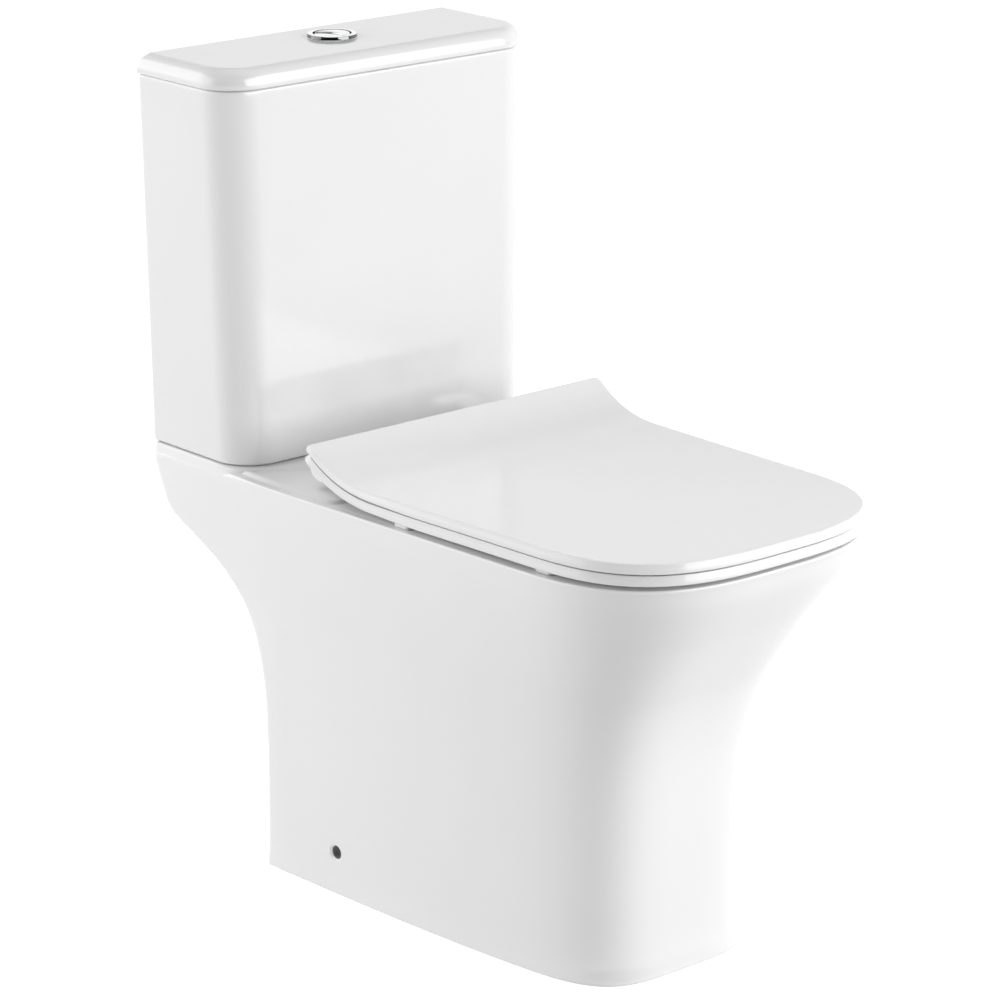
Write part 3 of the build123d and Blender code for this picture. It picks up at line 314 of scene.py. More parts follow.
def build_pan():
    rc = 6.0
    levels = [4, 6.5, 9, 12, 15, 18, 21, 25, 32, 40, 50, 62, 75, 90, 105, 120, 135, 150, 163, 176, 188, 200, 210, 220, 229, 238,
              246, 254, 261, 268, 275, 282, 289, 296, 302, 308, 314, 320, 325, 330, 335, 340, 346, 352, 359, 366, 373, 379, 385, 390, 393]
    loops = []
    for a in np.radians([0, 20, 40, 60, 80, 90]):
        z = 2.6 * (1 - math.cos(a))
        loops.append(at_z(inset_loop(pan_loop(flare(z), rear_y(z), rc), 2.6 * (1 - math.sin(a))), z))
    for z in levels:
        loops.append(tilt(at_z(pan_loop(flare(z), rear_y(z), rc), z)))
    # rim edge: crisp around the seat, softer beside the cistern
    for z in (395.0, 397.0, 398.4, 399.4, 400.1, 400.7, 401.2, 401.6, 401.95, 402.25, 402.45, 402.56, Z_RIM):
        lp = pan_loop(flare(z), Y_BACK, rc)
        u = np.clip((lp[:, 1] - 165.0) / 70.0, 0, 1)
        u = u * u * (3 - 2 * u)
        k = max(z - (Z_RIM - 2.8), 0.0) / 2.8
        crisp = 2.8 * (1 - math.sqrt(max(1 - k * k, 0.0)))
        soft = float(pchip([393, 397, 399, 400.2, 401.2, 402.6], [0, .25, .9, 1.7, 2.5, 3.3], z))
        loops.append(tilt(at_z(inset_loop(lp, crisp * (1 - u) + soft * u), z)))
    pan = loft("pan_china", loops)
    # hollow underside, open at the floor and at the back
    void = []
    for z in [-5, 0, 25, 60, 100, 145, 175, 200, 225, 245, 265, 285, 305, 325, 345, 365, 380, 388]:
        void.append(at_z(inset_loop(pan_loop(flare(max(z, 0)), 372.0, 16.0, 90, 6, 8), 11.0), z))
    void.append(at_z(inset_loop(pan_loop(flare(391), 372.0, 16.0, 90, 6, 8), 13.5), 391))
    csg(pan, loft("void", void), "DIFFERENCE")
    # bowl, trap, spigot and flush duct
    body = []
    for z in [9, 10.5, 14, 22, 40, 60, 90, 120, 150, 185, 220, 260, 300, 336, 372, 397]:
        k = {9: -6.0, 10.5: -2.0, 14: -0.4}.get(z, 0.0)
        body.append(at_z(bowl_loop(*bowl_at(max(z, 22)), 10.0 + k), z))
    csg(pan, loft("bowl_body", body), "UNION")
    path = trap_path()
    csg(pan, tube("trap_body", path[(path[:, 0] > -30)], 48.0), "UNION")
    prof = [(20, 0), (51, 0), (51, 60)] + arc_pts(48.2, 67.2, 2.8, 0, 90, 6) + [(30, 70)]
    csg(pan, loft("spigot", revolve_loops((0, 176, 185), (0, 1, 0), prof)), "UNION")
    duct = [at_z(rounded_rect(50, 28, 308, 10, 10), z) for z in (338, 396)]
    duct.insert(0, at_z(rounded_rect(46, 32, 304, 8, 8), 334))
    csg(pan, loft("duct", duct), "UNION")
    # raised deck and shelf, blended into the rim
    deck = [at_z(rounded_rect(169.5, 70.5, 328.0, 14.5, 8), 397.0)]
    for u in np.linspace(0, 1, 10):
        s = u * u * (3 - 2 * u)
        off = 2.6 - 5.4 * u
        deck.append(tilt(at_z(rounded_rect(168.0 + off, 72.0 - off, 326.5 + off, 13 + off, 8), Z_RIM - 0.12 + (Z_DECK - Z_RIM + 0.12) * s), s))
    csg(pan, loft("deck", deck), "UNION")
    side = [at_z(rounded_rect(176.4, 184.5, 332.0, 46, 5), 397.0)]
    for z, w, yf, yb in ((402.3, 176.25, 184.6, 331.9), (404.0, 176.1, 186.6, 331.8), (405.4, 175.95, 188.4, 331.6), (406.1, 175.75, 189.9, 331.3),
                         (406.6, 175.4, 191.4, 330.9), (406.95, 174.9, 193.0, 330.3), (407.18, 174.2, 194.4, 329.5), (Z_SHELF, 173.2, 196.0, 328.4)):
        side.append(at_z(rounded_rect(w, yf, yb, 46 - 0.6 * (yf - 184.5), 5), z))
    csg(pan, loft("shelf_side", side), "UNION")
    ramp = [at_z(rounded_rect(166.4, 165.5, 320.0, 60, 8), 399.0)]
    for u in np.linspace(0, 1, 14):
        s = (1 - (1 - u) ** 2) * 0.8 + 0.2 * u * u * (3 - 2 * u)
        ramp.append(at_z(rounded_rect(166.4 - 1.5 * u, 165.5 + 27 * u, 320.0 - 4 * u, 60 - 22 * u, 8), Z_DECK - 0.05 + (Z_SHELF - Z_DECK - 0.02) * s))
    csg(pan, loft("shelf_front", ramp), "UNION")
    # bowl cavity with a rounded lip
    cav = []
    for z, k in ((22.0, -16.0), (23.5, -8.0), (27.0, -3.0), (33.0, 0.0)):
        cav.append(at_z(bowl_loop(*bowl_at(z), k), z))
    for z in [45, 62, 80, 100, 120, 140, 160, 180, 200, 220, 240, 260, 280, 300, 320, 340, 358, 372, 384, 390]:
        cav.append(tilt(at_z(bowl_loop(*bowl_at(z), 0.0), z)))
    for a in np.radians([0, 15, 30, 45, 60, 75, 88]):
        cav.append(tilt(at_z(bowl_loop(*bowl_at(404), 9.0 * (1 - math.cos(a))), Z_RIM - 8.95 + 9.0 * math.sin(a))))
    cav.append(at_z(bowl_loop(*bowl_at(404), 9.4), 420.0))
    csg(pan, loft("bowl_cut", cav), "DIFFERENCE")
    csg(pan, tube("trap_bore", path[path[:, 0] > -42], 38.0), "DIFFERENCE")
    csg(pan, loft("duct_cut", [at_z(rounded_rect(40, 30, 300, 8, 8), z) for z in (343, 376)]), "DIFFERENCE")
    for args in ((0, 264, 370, 430, 34.0), (0, 264, 383, 430, 47.5), (-75, 264, 370, 430, 6.5), (75, 264, 370, 430, 6.5),
                 (125, 264, 370, 430, 24.0), (-77.5, 118, 370, 430, 6.0), (77.5, 118, 370, 430, 6.0)):
        csg(pan, cyl_z(*args), "DIFFERENCE")
    # floor fixing holes with a rounded mouth
    for s in (-1, 1):
        prof = [(12.0, 30.0), (8.75, 2.55)] + [(8.5 - 2.5 * math.sin(a), 2.5 * math.cos(a)) for a in np.radians(np.linspace(4, 90, 9))] + [(6.0, -30.0)]
        csg(pan, loft("hole", revolve_loops((s * 126.1, 124.0, 41.0), (s, 0, 0), prof, 56)), "DIFFERENCE")
    return smooth(pan, 30.0)


# ------------------------------------------------------------------ cistern and its lid
def build_cistern():
    loops = []
    tn = (22, 26, 22, 8, 22)

    def sect(z, d, inner=0.0):
        t = (z - CIS_Z0) / (CIS_Z1 - CIS_Z0)
        w, yf = 175.2 + 7.3 * t, 195.5 + 4.5 * t
        return at_z(rounded_rect(w - d - inner, yf + d + inner, Y_BACK - d * 0.5 - inner, max(37.0 - 0.35 * d - inner, 8), max(2.8 - 0.35 * d, 1.2) if inner == 0 else 5.5, tn), z)

    rb = 3.0
    for a in np.radians(np.linspace(0, 90, 10)):
        loops.append(sect(CIS_Z0 + rb * (1 - math.cos(a)), rb * (1 - math.sin(a))))
    for z in (430, 470, 520, 570, 620, 670, 710, 740):
        loops.append(sect(z, 0.0))
    rt = 2.4
    for a in np.radians(np.linspace(0, 90, 6)):
        loops.append(sect(CIS_Z1 - rt + rt * math.sin(a), rt * (1 - math.cos(a))))
    for a in np.radians(np.linspace(90, 0, 6)):
        loops.append(sect(CIS_Z1 - rt + rt * math.sin(a), 0, 9.0 - rt + rt * math.cos(a)))
    for z in (740, 700, 640, 560, 480, 440):
        loops.append(sect(z, 0, 9.0))
    for a in np.radians(np.linspace(0, 90, 7)):
        loops.append(sect(430.0 - 12 * math.sin(a), 0, 9.0 + 12 * (1 - math.cos(a))))
    ob = loft("cistern_china", loops)
    for args in ((0, 264, 400, 425, 31.5), (-75, 264, 400, 425, 6.5), (75, 264, 400, 425, 6.5), (125, 264, 400, 425, 11.5)):
        csg(ob, cyl_z(*args), "DIFFERENCE")
    return smooth(ob, 30.0)


def build_cistern_lid():
    w, yf = 185.5, 197.0
    tn = (22, 28, 22, 10, 22)

    def sect(z, d):
        return at_z(rounded_rect(w - d, yf + d, Y_BACK - (d if d < 8 else 8.0 + 0.3 * (d - 8.0)), max(40.0 - d, 6.0), max(2.8 - 0.15 * d, 1.2), tn), z)

    loops = [sect(LID_Z0, 15.0), sect(LID_Z0, 5.0)]
    for a in np.radians(np.linspace(0, 90, 5)):
        loops.append(sect(LID_Z0 + 1.6 * (1 - math.cos(a)), 1.6 * (1 - math.sin(a))))
    sh, sv = 13.6, 16.6
    for a in np.radians(np.linspace(0, 80, 17)):
        loops.append(sect(LID_Z1 - sv + sv * math.sin(a) / math.sin(math.radians(80)), sh * (1 - math.cos(a))))
    loops.append(sect(LID_Z1 + 0.02, sh * 0.826 + 1.6))
    loops.append(sect(LID_Z1 + 0.02, sh * 0.826 + 8.0))
    ob = loft("cistern_lid_china", loops)
    # hollow underside and locating lip
    lip = [at_z(rounded_rect(170 - d, 212.5 + d, 320 - d, 24, 8), z) for z, d in ((LID_Z0 + 3, 0), (752.3, 0), (751.0, 1.3))]
    csg(ob, loft("lip", lip), "UNION")
    hol = [at_z(rounded_rect(163, 219.5, 313, 20, 8), z) for z in (745, 762.0)] + [at_z(rounded_rect(158, 224.5, 308, 20, 8), 767.5)]
    csg(ob, loft("hollow", hol), "DIFFERENCE")
    csg(ob, cyl_z(0, BTN_Y, 740, 800, 20.0, 72), "DIFFERENCE")
    return smooth(ob, 30.0)


# ------------------------------------------------------------------ flush buttons
def build_bezel():
    zt = LID_Z1 + 3.6
    prof = [(18.2, 750.0), (18.2, zt - 1.6)] + arc_pts(18.7, zt - 0.5, 0.5, 180, 90, 6) + [(20.4, zt - 0.02), (22.5, zt - 0.14)]
    prof += arc_pts(22.62, zt - 0.72, 0.55, 84, 16, 7) + [(23.78, LID_Z1 + 0.55), (23.95, LID_Z1 + 0.3), (24.2, LID_Z1 + 0.05), (19.4, LID_Z1 + 0.05), (19.4, 744.0), (14.6, 744.0), (14.6, 746.5), (18.2, 750.0)]
    loops = revolve_loops((0, BTN_Y, 0), (0, 0, 1), prof, 128)
    return smooth(loft("button_bezel_ring", loops, False, False), 35.0)


def plate(name, outline, z0, z1, r=0.9, tips=()):
    """Flat push plate from a closed outline, with a rounded top edge that thins out towards the sharp tips."""
    k = np.ones(len(outline))
    for i in tips:
        k = np.minimum(k, np.clip(np.linalg.norm(outline - outline[i], axis=1) / 6.0, 0.25, 1.0))
    loops = [at_z(outline, z0)]
    for a in np.radians(np.linspace(0, 90, 6)):
        loops.append(at_z(inset_loop(outline, k * r * (1 - math.cos(a))), z1 - r + r * math.sin(a)))
    return smooth(loft(name, loops), 35.0)


def button_outlines():
    R, cx = 16.7, -21.0
    r1, r2 = 21.7, 23.5
    x1 = (r1 ** 2 - R ** 2 - cx ** 2) / (-2 * cx)
    y1 = math.sqrt(R * R - x1 * x1)
    a = math.atan2(y1, x1)
    b = math.atan2(y1, x1 - cx)
    left = [(R * math.cos(t), R * math.sin(t)) for t in np.linspace(a, 2 * pi - a, 60)]
    right = [(cx + r1 * math.cos(t), r1 * math.sin(t)) for t in np.linspace(-b, b, 50)]
    lens = np.array(left + right[1:-1])
    x2 = (r2 ** 2 - R ** 2 - cx ** 2) / (-2 * cx)
    y2 = math.sqrt(R * R - x2 * x2)
    a2, b2 = math.atan2(y2, x2), math.atan2(y2, x2 - cx)
    outer = [(R * math.cos(t), R * math.sin(t)) for t in np.linspace(-a2, a2, 80)]
    inner = [(cx + r2 * math.cos(t), r2 * math.sin(t)) for t in np.linspace(b2, -b2, 50)]
    rest = np.array(outer + inner[1:-1])
    c, sn = math.cos(math.radians(21)), math.sin(math.radians(21))
    turn = np.array([[c, sn], [-sn, c]])
    off = np.array([0.0, BTN_Y])
    return lens @ turn + off, rest @ turn + off


# ------------------------------------------------------------------ seat and seat lid
def seat_w(y):
    return 167.6 + 10.2 * np.clip((y + 195.0) / 293.0, 0, 1) ** 1.2


def seat_top(y):
    d = y - 13.0
    return np.where(d <= 0, 427.6 - 0.0085 * d, 427.6 + 0.0023 * d * d + 0.0000195 * np.abs(d) ** 3)


_yy = np.arange(-350.0, 125.0, 0.25)
_zz = seat_top(_yy)
_ss = np.concatenate([[0], np.cumsum(np.hypot(np.diff(_yy), np.diff(_zz)))])
_ss = _ss - np.interp(13.0, _yy, _ss) + 13.0
_al = np.arctan2(np.gradient(_zz), np.gradient(_yy))


# depths under the lid's top surface: lid underside, ring top, ring underside; on the level part and at the tail
LID_LO, RING_UP, RING_LO = 9.0, 10.6, 19.8
TAIL_IN, TAIL_OUT = [0.0, LID_LO, RING_UP, RING_LO], [0.0, 5.2, 8.2, 15.4]


def s_of(y):
    return np.interp(y, _yy, _ss)


def on_seat(xs, t):
    """(x, arc length) points at depth t under the lid's top surface -> space."""
    x, s = xs[:, 0], xs[:, 1]
    y, z, a = np.interp(s, _ss, _yy), np.interp(s, _ss, _zz), np.interp(s, _ss, _al)
    u = np.clip((y + 60.0) / 146.0, 0, 1)
    u = u * u * (3 - 2 * u)
    t = t + (np.interp(t, TAIL_IN, TAIL_OUT) - t) * u
    return np.column_stack([x, y + t * np.sin(a), z - t * np.cos(a)])


def seat_dense(s_end, rc, inset=0.0, notch=None):
    """Dense closed outline in (x, arc length), symmetric about X = 0."""
    n, y0, yf = 3.0, -170.0, -332.3 + inset
    th = np.linspace(0, 1, 1200) * pi / 2
    th = np.concatenate([[pi / 2], (pi / 2 - np.geomspace(1e-7, th[1], 50))[::1], th[1:-1][::-1], np.geomspace(1e-7, th[1], 50)[::-1], [0.0]])
    th = np.sort(th)[::-1]
    y = y0 + (yf - y0) * np.sin(th) ** (2 / n)
    front = np.column_stack([-(seat_w(y) - inset) * np.cos(th) ** (2 / n), s_of(y)])
    front[0, 0] = 0.0
    se = s_end - inset
    r = max(rc - inset, 0.8)
    ys = np.interp(np.linspace(s_of(y0), se - r, 300)[1:], _ss, _yy)
    side = np.column_stack([-(seat_w(ys) - inset), s_of(ys)])
    wc = -side[-1, 0]
    a = np.linspace(pi, pi / 2, 40)[1:]
    arc = np.column_stack([-wc + r + r * np.cos(a), se - r + r * np.sin(a)])
    xb = np.linspace(-wc + r, 0, 200)[1:]
    sb = np.full(len(xb), se)
    if notch:
        depth, x_in, x_out = notch
        u = np.clip((np.abs(xb) - x_in) / (x_out - x_in), 0, 1)
        sb = se - depth * (1 - u * u * (3 - 2 * u))
    return mirror_half(np.vstack([front, side, arc, np.column_stack([xb, sb])]))


SEAT_C = np.array([0.0, -118.0])


def polar(loop, phi):
    d = loop - SEAT_C
    a = np.unwrap(np.arctan2(d[:, 1], d[:, 0]))
    if a[-1] < a[0]:
        a, d = a[::-1], d[::-1]
    r = np.hypot(d[:, 0], d[:, 1])
    a = np.concatenate([a + k * 2 * pi for k in (-2, -1, 0, 1, 2)])
    r = np.tile(r, 5)
    rr = np.interp(phi, a, r)
    return SEAT_C + np.column_stack([rr * np.cos(phi), rr * np.sin(phi)])


def phi_of(loop, n):
    closed = np.vstack([loop, loop[:1]])
    p = resample(closed, n, ends=False)
    d = p - SEAT_C
    a = np.unwrap(np.arctan2(d[:, 1], d[:, 0]))
    return a if a[-1] > a[0] else a[::-1]


def seat_edge(s_end, rc, phi, top_r, bot_r, t0, t1, notch=None, draft=0.6):
    """Loops over the rounded outer edge, from the top surface to the bottom one."""
    out = []
    for a in np.radians(np.linspace(90, 0, 8)):
        out.append((draft + top_r * (1 - math.cos(a)), t0 + top_r * (1 - math.sin(a))))
    out.append((0.5 * draft, 0.5 * (t0 + t1)))
    for a in np.radians(np.linspace(0, 90, 6)):
        out.append((bot_r * (1 - math.cos(a)), t1 - bot_r * (1 - math.sin(a))))
    return [on_seat(polar(seat_dense(s_end, rc, i, notch), phi), t) for i, t in out], out[0][0], out[-1][0]


def extrude_x(name, prof, xs, mirror=True):
    """Closed YZ profile swept along X; xs is a list of (x, inset)."""
    prof = np.asarray(prof, float)
    obs = []
    for s in ((-1, 1) if mirror else (1,)):
        loops = []
        for x, d in xs:
            q = inset_loop(prof, d) if d else prof
            loops.append(np.column_stack([np.full(len(q), s * x), q]))
        obs.append(loft(name, loops))
    return obs


def ends(x0, x1, r):
    """x positions and insets for a sweep with rounded ends."""
    a = np.radians(np.linspace(90, 0, 5))
    lo = [(x0 + r * (1 - math.cos(t)), r * (1 - math.sin(t))) for t in a[::-1]]
    hi = [(x1 - r * (1 - math.cos(t)), r * (1 - math.sin(t))) for t in a]
    return [(x, d) for x, d in lo] + [(x, d) for x, d in hi]


def smooth_poly(pts, n=120, it=3):
    """Closed polygon with its corners cut round."""
    p = np.asarray(pts, float)
    for _ in range(it):
        q = np.empty((2 * len(p), 2))
        nx = np.roll(p, -1, 0)
        q[0::2], q[1::2] = 0.75 * p + 0.25 * nx, 0.25 * p + 0.75 * nx
        p = q
    return resample(np.vstack([p, p[:1]]), n, ends=False)


def barrel_profile(r, top, bottom):
    """YZ outline: hinge barrel of radius r joined to points on the plate above; top and bottom are polylines towards the front."""
    a = np.radians(np.linspace(-100, 95, 60))
    arc = np.column_stack([HINGE_Y + r * np.cos(a), HINGE_Z + r * np.sin(a)])
    p = np.vstack([arc, np.asarray(top, float), np.asarray(bottom, float)])
    return resample(np.vstack([p, p[:1]]), 150, ends=False)


def build_seat_lid():
    s_end = s_of(98.5)
    phi = phi_of(seat_dense(s_end, 6.5), 420)
    edge, i0, i1 = seat_edge(s_end, 6.5, phi, 1.5, 0.8, 0.0, LID_LO, draft=2.1)
    inner = polar(seat_dense(s_end, 6.5, i0), phi)
    loops = []
    for k in (0.02, 0.1, 0.2, 0.3, 0.4, 0.5, 0.58, 0.66, 0.73, 0.79, 0.84, 0.88, 0.915, 0.945, 0.965, 0.98, 0.992):
        loops.append(on_seat(SEAT_C + (inner - SEAT_C) * k, 0.0))
    loops += edge
    for i, t in ((2.7, LID_LO), (3.1, LID_LO - 0.2), (3.5, LID_LO - 1.2), (4.2, 6.0), (5.0, 5.1), (6.2, 4.8)):
        loops.append(on_seat(polar(seat_dense(s_end, 6.5, i), phi), t))
    under = polar(seat_dense(s_end, 6.5, 6.2), phi)
    for k in (0.97, 0.93, 0.88, 0.82, 0.75, 0.67, 0.58, 0.48, 0.36, 0.24, 0.12, 0.02):
        loops.append(on_seat(SEAT_C + (under - SEAT_C) * k, 4.8))
    lid = loft("seat_lid_shell", loops)
    prof = barrel_profile(13.0, [(124.0, 438.5), (118.5, 443.6), (111.5, 448.4), (105.0, 450.9), (97.0, 451.6)], [(91.0, 446.6), (98.0, 446.8), (104.0, 444.2), (107.6, 437.0), (107.0, 431.0)])
    arms = extrude_x("lid_arm", prof, ends(24.0, 64.0, 1.6))
    return smooth(join("seat_lid_shell", [lid] + arms), 35.0)


def build_seat_ring():
    s_end = s_of(95.5)
    notch = (s_of(95.5) - s_of(84.5), 88.0, 100.0)
    phi = phi_of(seat_dense(s_end, 7.0), 420)
    edge, i0, i1 = seat_edge(s_end, 7.0, phi, 1.0, 1.6, RING_UP, RING_LO, notch, 2.0)
    hole = bowl_loop(108.0, -272.0, 22.0, 2.6, 0.0, 400)
    out_top = polar(seat_dense(s_end, 7.0, i0, notch), phi)
    out_bot = polar(seat_dense(s_end, 7.0, i1, notch), phi)

    def inner(grow):
        return polar(np.vstack([bowl_loop(108.0, -272.0, 22.0, 2.6, grow, 900)]), phi)

    loops = list(edge)
    a0, b0 = out_bot, inner(6.0)
    for k in (0.25, 0.5, 0.75, 1.0):
        loops.append(on_seat(a0 + (b0 - a0) * k, RING_LO))
    for a in np.radians(np.linspace(90, 0, 6)):
        loops.append(on_seat(inner(3.4 * (1 - math.cos(a))), RING_LO - 3.4 + 3.4 * math.sin(a)))
    for a in np.radians(np.linspace(0, 90, 8)):
        loops.append(on_seat(inner(5.0 * (1 - math.cos(a))), 16.4 - 4.7 * math.sin(a)))
    a1, b1 = inner(5.0), out_top
    for k in (0.12, 0.26, 0.42, 0.58, 0.74, 0.88, 0.96):
        loops.append(on_seat(a1 + (b1 - a1) * k, RING_UP + 1.3 * (1 - k) ** 2))
    loops.append(edge[0])
    ring = loft("seat_ring_shell", loops, False, False)
    prof = barrel_profile(14.5, [(110.5, 439.6), (104.0, 442.6), (97.0, 438.8), (80.0, 428.6), (66.0, 421.0)],
                          [(64.0, 417.6), (84.0, 416.4), (96.0, 413.0), (106.0, 410.6)])
    kn = extrude_x("knuckle", prof, ends(91.0, 148.0, 2.6))
    return smooth(join("seat_ring_shell", [ring] + kn), 35.0)


def build_seat_buffers():
    """Four small pads between the ring and the rim."""
    obs = []
    for bx, by in ((-159.0, -22.0), (159.0, -22.0), (-152.5, -202.0), (152.5, -202.0)):
        top = float(on_seat(np.array([[bx, s_of(by)]]), RING_LO - 0.5)[0, 2])
        c = np.array([bx, by])
        zb = float(rim_z(by)) + 0.3
        prof = [(1.6, zb), (0.7, zb + 0.25), (0.15, zb + 0.7), (0.0, zb + 1.3), (0.0, top - 1.2), (-0.7, top - 0.4), (-0.9, top)]
        obs.append(loft("pad", [at_z(rounded_rect(9.0 - d, -10.0 + d, 10.0 - d, 4.0 - d * 0.7, 4.0 - d * 0.7, (4, 6, 6, 6, 4)) + c, z) for d, z in prof]))
    return smooth(join("seat_pads", obs), 35.0)


# ------------------------------------------------------------------ materials
def material(name, base, rough, metal=0.0, coat=0.0, coat_rough=0.03, vary=0.02, scale=40.0, rough_vary=0.03, bump=0.0, bump_scale=200.0, ior=1.5, spec=0.5):
    m = bpy.data.materials.new(name)
    m.use_nodes = True
    nt = m.node_tree
    b = nt.nodes["Principled BSDF"]
    b.inputs["Metallic"].default_value = metal
    b.inputs["IOR"].default_value = ior
    b.inputs["Specular IOR Level"].default_value = spec
    b.inputs["Coat Weight"].default_value = coat
    b.inputs["Coat Roughness"].default_value = coat_rough
    tc = nt.nodes.new("ShaderNodeTexCoord")
    nz = nt.nodes.new("ShaderNodeTexNoise")
    nz.inputs["Scale"].default_value = scale
    nz.inputs["Detail"].default_value = 4.0
    nt.links.new(tc.outputs["Object"], nz.inputs["Vector"])
    cr = nt.nodes.new("ShaderNodeValToRGB")
    lo = [c * (1 - vary) for c in base]
    hi = [min(c * (1 + vary), 1.0) for c in base]
    cr.color_ramp.elements[0].position, cr.color_ramp.elements[1].position = 0.3, 0.7
    cr.color_ramp.elements[0].color = (*lo, 1)
    cr.color_ramp.elements[1].color = (*hi, 1)
    nt.links.new(nz.outputs["Fac"], cr.inputs["Fac"])
    nt.links.new(cr.outputs["Color"], b.inputs["Base Color"])
    n2 = nt.nodes.new("ShaderNodeTexNoise")
    n2.inputs["Scale"].default_value = scale * 3.1
    n2.inputs["Detail"].default_value = 3.0
    nt.links.new(tc.outputs["Object"], n2.inputs["Vector"])
    mr = nt.nodes.new("ShaderNodeMapRange")
    mr.inputs["From Min"].default_value, mr.inputs["From Max"].default_value = 0.3, 0.7
    mr.inputs["To Min"].default_value, mr.inputs["To Max"].default_value = max(rough - rough_vary, 0.0), rough + rough_vary
    nt.links.new(n2.outputs["Fac"], mr.inputs["Value"])
    nt.links.new(mr.outputs["Result"], b.inputs["Roughness"])
    if bump:
        n3 = nt.nodes.new("ShaderNodeTexNoise")
        n3.inputs["Scale"].default_value = bump_scale
        n3.inputs["Detail"].default_value = 2.0
        nt.links.new(tc.outputs["Object"], n3.inputs["Vector"])
        bp = nt.nodes.new("ShaderNodeBump")
        bp.inputs["Strength"].default_value = bump
        bp.inputs["Distance"].default_value = 0.0006
        nt.links.new(n3.outputs["Fac"], bp.inputs["Height"])
        nt.links.new(bp.outputs["Normal"], b.inputs["Normal"])
    return m


MAT = {
    "china": material("glazed_china", (0.775, 0.775, 0.775), 0.12, coat=0.35, vary=0.008, scale=9.0, rough_vary=0.015, bump=0.02, bump_scale=26.0),
    # painted light: the pan's glaze is a lighter copy of the cistern's, making up for light that its lower, overhung
    # faces and narrow gaps miss
    "pan_china": material("glazed_pan_china", (0.83, 0.83, 0.83), 0.12, coat=0.35, vary=0.008, scale=9.0, rough_vary=0.015, bump=0.02, bump_scale=26.0),
    # painted shade for the bores of the fixing holes
    "hole_painted_shade": material("fixing_hole_painted_shade", (0.24, 0.24, 0.24), 0.6, coat=0.0, vary=0.008, scale=9.0, rough_vary=0.015, bump=0.02, bump_scale=26.0),
    # painted shade of the flat top behind the bowl
    "deck_painted_shade": material("glazed_deck_painted_shade", (0.72, 0.72, 0.72), 0.12, coat=0.35, vary=0.008, scale=9.0, rough_vary=0.015, bump=0.02, bump_scale=26.0),
    "seat_plastic": material("seat_gloss", (0.81, 0.81, 0.81), 0.13, vary=0.006, scale=14.0, rough_vary=0.02, bump=0.015, bump_scale=60.0),
    "valve_plastic": material("valve_plastic", (0.62, 0.65, 0.67), 0.42, vary=0.05, scale=60.0, rough_vary=0.06, bump=0.10, bump_scale=500.0),
    "chrome": material("bright_chrome", (0.90, 0.905, 0.915), 0.035, metal=1.0, vary=0.02, scale=70.0, rough_vary=0.02),
    # darker copy of the chrome: painted reflection of dark surroundings
    "chrome_painted_reflection": material("chrome_painted_reflection", (0.15, 0.152, 0.156), 0.04, metal=1.0, vary=0.05, scale=70.0, rough_vary=0.02),
    "rubber": material("black_rubber", (0.025, 0.025, 0.027), 0.6, vary=0.15, scale=90.0, rough_vary=0.08, bump=0.15, bump_scale=700.0),
    "pad": material("clear_pad", (0.72, 0.72, 0.71), 0.35, vary=0.03, scale=90.0, rough_vary=0.05),
    "brass": material("plain_brass", (0.70, 0.50, 0.20), 0.24, metal=1.0, vary=0.06, scale=80.0, rough_vary=0.06),
    "steel": material("bright_steel", (0.55, 0.55, 0.56), 0.28, metal=1.0, vary=0.04, scale=90.0, rough_vary=0.07),
}


def dress(ob, slot):
    ob.data.materials.clear()
    ob.data.materials.append(MAT[slot])
    return ob


slots = {s["node"]: s["material_slot"] for s in frame["record"]["subparts"]}
bodies = frame["record"]["behaviour"]["bodies"]
body_of = {n: b for b, ns in bodies.items() for n in ns}
for name, ob in frame["nodes"].items():
    slot = slots.get(name, "valve_plastic")
    ob.data.materials.clear()
    ob.data.materials.append(MAT[slot])


def stand_for(ob, *nodes):
    slot = slots[nodes[0]]
    dress(ob, slot)
    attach(ob, body_of[nodes[0]])
    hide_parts(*nodes)
    return ob


pan = stand_for(build_pan(), *[n for n in sorted(frame["nodes"]) if n.startswith("pan")])
dress(pan, "pan_china")
# painted shade: the flat top turns a shade greyer towards the cistern, standing in for the shadow that the cistern and
# the seat cast on it
pan.data.materials.append(MAT["deck_painted_shade"])
dt = MAT["deck_painted_shade"].node_tree
d_in = dt.nodes["Principled BSDF"].inputs["Base Color"]
d_col = d_in.links[0].from_socket
d_tc = dt.nodes.new("ShaderNodeTexCoord")
d_sep = dt.nodes.new("ShaderNodeSeparateXYZ")
dt.links.new(d_tc.outputs["Object"], d_sep.inputs[0])
d_map = dt.nodes.new("ShaderNodeMapRange")
d_map.interpolation_type = "SMOOTHSTEP"
d_map.inputs["From Min"].default_value, d_map.inputs["From Max"].default_value = -0.02, 0.12
d_map.inputs["To Min"].default_value, d_map.inputs["To Max"].default_value = 0.83 / 0.72, 1.0
dt.links.new(d_sep.outputs["Y"], d_map.inputs["Value"])
d_mul = dt.nodes.new("ShaderNodeVectorMath")
d_mul.operation = "SCALE"
dt.links.new(d_col, d_mul.inputs[0])
dt.links.new(d_map.outputs["Result"], d_mul.inputs["Scale"])
dt.links.new(d_mul.outputs["Vector"], d_in)
# upward faces of the flat top, which carry the painted shade
for q in pan.data.polygons:
    if q.normal.z > 0.6 and q.center.z > 0.392 and q.center.y > -0.03:
        q.material_index = 1
# painted shade: the bores of the two fixing holes get a dark tone, matched to how dark they look, standing in for the
# shadow inside them
pan.data.materials.append(MAT["hole_painted_shade"])
for q in pan.data.polygons:
    if math.hypot(q.center.y - 0.124, q.center.z - 0.041) < 0.0063 and abs(q.normal.x) < 0.6 and abs(q.center.x) > 0.09:
        q.material_index = 2
stand_for(build_cistern(), "cistern")
stand_for(build_cistern_lid(), "cistern_lid")
bezel = stand_for(build_bezel(), "button_bezel")
